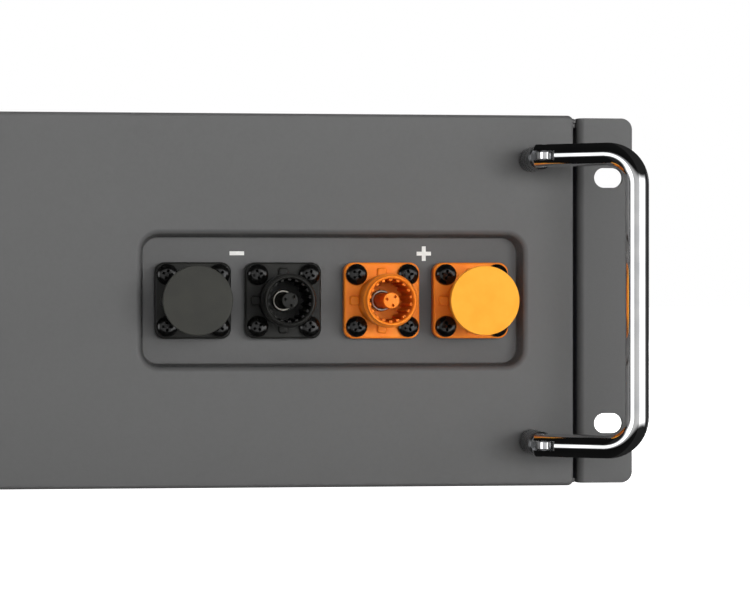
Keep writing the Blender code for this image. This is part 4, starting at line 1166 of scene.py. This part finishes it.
def make_light(name, place, aim, size, watts):
    """Soft rectangular lamp that faces a point; bright metal mirrors the world's soft boxes instead."""
    data = bpy.data.lights.new(name, "AREA")
    data.shape = "RECTANGLE"
    data.size, data.size_y = size
    data.energy = watts
    lamp = bpy.data.objects.new(name, data)
    lamp.location = place
    lamp.rotation_euler = (Vector(aim) - Vector(place)).to_track_quat("-Z", "Y").to_euler()
    lamp.visible_glossy = False
    bpy.context.scene.collection.objects.link(lamp)


def make_world():
    """White to the camera, an even dim glow, and for shiny metal a dark room with a band of soft boxes."""
    world = bpy.data.worlds.new("studio")
    world.use_nodes = True
    world.node_tree.nodes.clear()
    white = add_node(world, "ShaderNodeBackground", {"Color": linear("ffffff"), "Strength": 1.0})
    glow = add_node(world, "ShaderNodeBackground", {"Color": linear("ffffff"), "Strength": GLOW})
    way = add_node(world, "ShaderNodeTexCoord").outputs["Generated"]
    axes = add_node(world, "ShaderNodeSeparateXYZ", None, {0: way}).outputs
    across = add_node(world, "ShaderNodeMapRange", {"From Min": -1.0}, {"Value": axes["X"]})
    boxes = add_node(world, "ShaderNodeValToRGB", None, {"Fac": across.outputs["Result"]})
    ramp = boxes.color_ramp
    for place, grey in SOFT_BOXES[2:]:
        ramp.elements.new(place)
    for element, (place, grey) in zip(ramp.elements, SOFT_BOXES):
        element.position = place
        element.color = (grey, grey, grey, 1.0)
    # The band fades out above and below eye level, and is weak behind the box.
    height = add_node(world, "ShaderNodeMath", {"operation": "ABSOLUTE"}, {0: axes["Z"]})
    level = add_node(
        world, "ShaderNodeMapRange",
        {"interpolation_type": "SMOOTHSTEP", "From Min": 0.36, "From Max": 0.12},
        {"Value": height.outputs[0]},
    )
    front = add_node(
        world, "ShaderNodeMapRange", {"From Min": 0.1, "From Max": -0.1, "To Min": 0.05},
        {"Value": axes["Y"]},
    )
    share = add_node(
        world, "ShaderNodeMath", {"operation": "MULTIPLY"},
        {0: level.outputs["Result"], 1: front.outputs["Result"]},
    )
    power = add_node(
        world, "ShaderNodeMath", {"operation": "MULTIPLY_ADD", 1: BOX_POWER, 2: 0.02},
        {0: share.outputs[0]},
    )
    mirrored = add_node(
        world, "ShaderNodeBackground", None, {"Color": boxes.outputs["Color"], "Strength": power.outputs[0]}
    )
    rays = add_node(world, "ShaderNodeLightPath").outputs
    shown = glow.outputs[0]
    for ray, shade in (("Is Glossy Ray", mirrored), ("Is Camera Ray", white)):
        shown = add_node(
            world, "ShaderNodeMixShader", None, {0: rays[ray], 1: shown, 2: shade.outputs[0]}
        ).outputs[0]
    add_node(world, "ShaderNodeOutputWorld", None, {"Surface": shown})
    bpy.context.scene.world = world


def make_studio():
    """Broad frontal light, with weak fill from the sides, the back and above."""
    make_world()
    target = (0.1, FACE, MID_Z)
    make_light("front_box", (0.6, -3.0, 0.3), target, (2.0, 0.6), 66.0)
    make_light("left_box", (-2.4, -1.6, 0.7), target, (0.6, 1.0), 7.0)
    make_light("right_box", (2.6, -1.0, 0.5), target, (0.6, 1.0), 12.0)
    make_light("rear_box", (0.6, 2.6, 1.4), (0.0, 0.0, 0.1), (2.0, 1.0), 75.0)
    make_light("top_box", (0.0, 0.6, 2.6), (0.0, 0.1, 0.1), (2.0, 2.0), 42.0)


def make_camera():
    """Long lens opposite the middle of the front, turned and shifted to its right end."""
    data = bpy.data.cameras.new("camera")
    data.lens = 117.67
    data.shift_x = 0.115
    camera = bpy.data.objects.new("camera", data)
    camera.location = (CAMERA_X, FACE - CAMERA_DISTANCE, MID_Z + 0.18 * MM)
    camera.rotation_euler = (QUARTER, 0.0, -CAMERA_TURN)
    bpy.context.scene.collection.objects.link(camera)
    bpy.context.scene.camera = camera
    bpy.context.scene.view_settings.view_transform = "Standard"


make_camera()
make_studio()
make_floor()
make_case()
make_front_panel()
for side_name, side_sign in SIDES:
    make_rack_ear(side_name, side_sign)
    make_bail(side_name, side_sign)
    make_posts(side_name)
make_gaskets()
for socket_name in SOCKET_NAMES:
    make_socket(socket_name)
make_flange_screws()
make_cap("negative")
make_cap("positive")
make_marks()
make_controls()
finish_inner_nodes()

bpy.context.view_layer.update()
